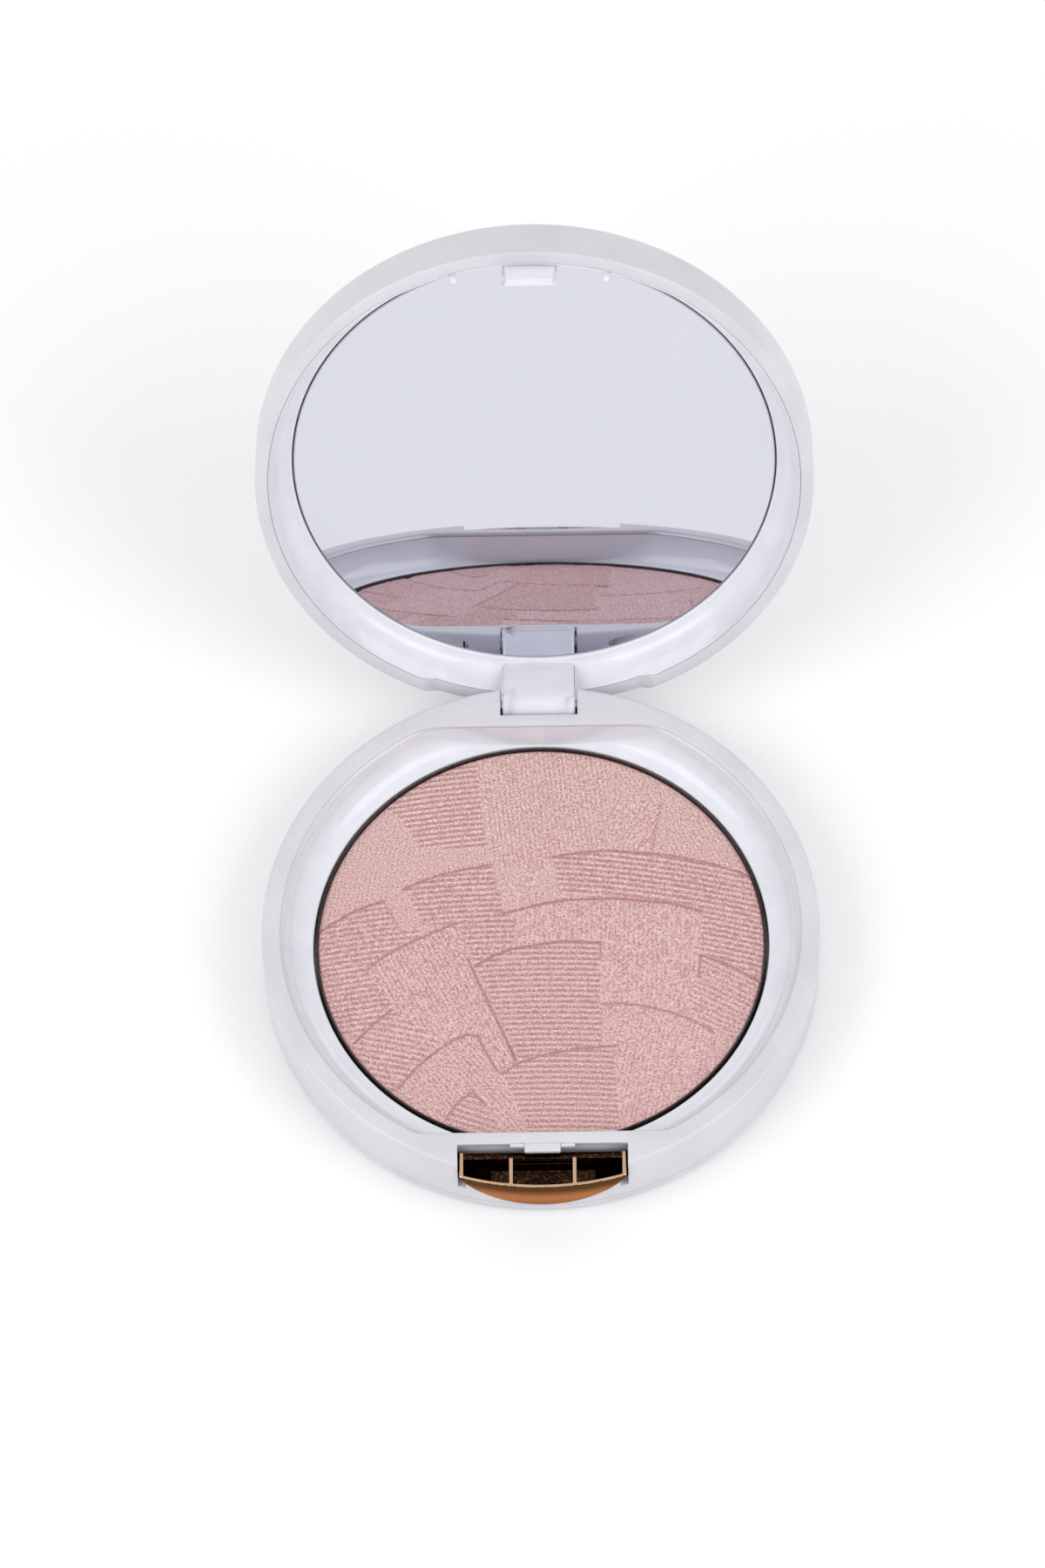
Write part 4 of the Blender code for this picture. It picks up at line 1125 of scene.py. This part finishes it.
# a wire carried along a spiral, laid from tray to button
def coilTree():
    tree, start = startTree("coilSpring", {
        "Turns": "Float", "Coil Radius": "Float", "Wire Radius": "Float", "Length": "Float",
        "Steps Per Turn": "Int", "Wire Sides": "Int", "Place": "Vector"})
    path = addNode(tree, "GeometryNodeCurveSpiral", links={
        "Rotations": start["Turns"], "Start Radius": start["Coil Radius"], "End Radius": start["Coil Radius"],
        "Height": start["Length"], "Resolution": start["Steps Per Turn"]})
    ring = addNode(tree, "GeometryNodeCurvePrimitiveCircle", links={
        "Resolution": start["Wire Sides"], "Radius": start["Wire Radius"]})
    swept = addNode(tree, "GeometryNodeCurveToMesh", {"Fill Caps": True},
            {"Curve": path, "Profile Curve": ring})
    laid = addNode(tree, "GeometryNodeTransform", {"Rotation": (math.pi / 2, 0, 0)},
            {"Geometry": swept, "Translation": start["Place"]})
    return finishTree(tree, start, laid)


coilSpring = coilTree()


def makeSpring(node, side):
    low, high = corners(node)
    length = high.y - low.y - coil["wire"]
    empty = bpy.data.meshes.new("seed")
    mesh = runTree(coilSpring, empty, {
        "Turns": coil["turns"], "Coil Radius": coil["radius"], "Wire Radius": coil["wire"] / 2,
        "Length": length, "Steps Per Turn": coil["stepsPerTurn"], "Wire Sides": coil["wireSides"],
        "Place": (side * button["springX"], high.y - coil["wire"] / 2, button["springZ"]), "Finish": wire})
    made = finishPiece("buttonSpring" + ("Left" if side < 0 else "Right"), mesh, wire, "base", [node])
    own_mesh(made)
    return made


makeButton()
makeSpring("button_spring_left", -1)
makeSpring("button_spring_right", 1)
print("latch built")


# hidden pieces keep their CAD shape
for node, finish, slotName in (("hinge_pin", wire, "steel"), ("pan_glue_pad", foam, "foam_tape"),
        ("mirror_pad", foam, "foam_tape")):
    kept = frame["nodes"][node]
    kept.data.materials.clear()
    kept.data.materials.append(finish)


studio = {
    "floor": "#F7F7F8",
    "sky": "#FFFFFF",
    "skyStrength": 0.8,
    "boxWatts": 1.8,
}


def makeFloor():
    made = startMaterial("paleStudioFloor")[0]
    finishMaterial(made, {}, {"Base Color": linear(studio["floor"]), "Roughness": 0.9,
            "Specular IOR Level": 0.1})
    mesh = bpy.data.meshes.new("floor")
    mesh.from_pydata([(-3, -3, 0), (3, -3, 0), (3, 3, 0), (-3, 3, 0)], [], [(0, 1, 2, 3)])
    floor = makeObject("floor", mesh, made)


def makeLight(name, place, size, watts):
    data = bpy.data.lights.new(name, "AREA")
    data.shape = "RECTANGLE"
    data.size, data.size_y = size
    data.energy = watts
    light = bpy.data.objects.new(name, data)
    scene.collection.objects.link(light)
    light.location = place
    light.rotation_euler = (Vector((0, 0.02, 0.02)) - Vector(place)).to_track_quat("-Z", "Y").to_euler()


def makeSky():
    world = bpy.data.worlds.new("studio")
    world.use_nodes = True
    back = world.node_tree.nodes["Background"]
    back.inputs["Color"].default_value = linear(studio["sky"])
    back.inputs["Strength"].default_value = studio["skyStrength"]
    scene.world = world
    scene.view_settings.view_transform = "Standard"


# the camera stands at the angle the lid and base are seen from
camera = {
    "target": (-2.21, 20.81, 12.0),
    "distance": 1200.0,
    "elevation": 60.553,
    "azimuth": 1.402,
    "roll": -2.038,
    "lens": 209.3,
}


def makeCamera():
    e, a, roll = (math.radians(camera[key]) for key in ("elevation", "azimuth", "roll"))
    back = Vector((math.sin(a) * math.cos(e), -math.cos(a) * math.cos(e), math.sin(e)))
    right = Vector((math.cos(a), math.sin(a), 0))
    up = back.cross(right)
    turnedRight = math.cos(roll) * right + math.sin(roll) * up
    turnedUp = -math.sin(roll) * right + math.cos(roll) * up
    place = (Vector(camera["target"]) + camera["distance"] * back) * mm
    data = bpy.data.cameras.new("camera")
    data.sensor_width = 36
    data.lens = camera["lens"]
    data.clip_start = 0.01
    made = bpy.data.objects.new("camera", data)
    scene.collection.objects.link(made)
    made.matrix_world = Matrix((turnedRight, turnedUp, back)).transposed().to_4x4()
    made.location = place
    scene.camera = made


makeFloor()
makeSky()
makeLight("softboxLeft", (-0.5, -0.25, 0.6), (0.5, 0.5), studio["boxWatts"])
makeLight("softboxRight", (0.5, -0.25, 0.6), (0.5, 0.5), studio["boxWatts"])
makeCamera()
print("studio ready")
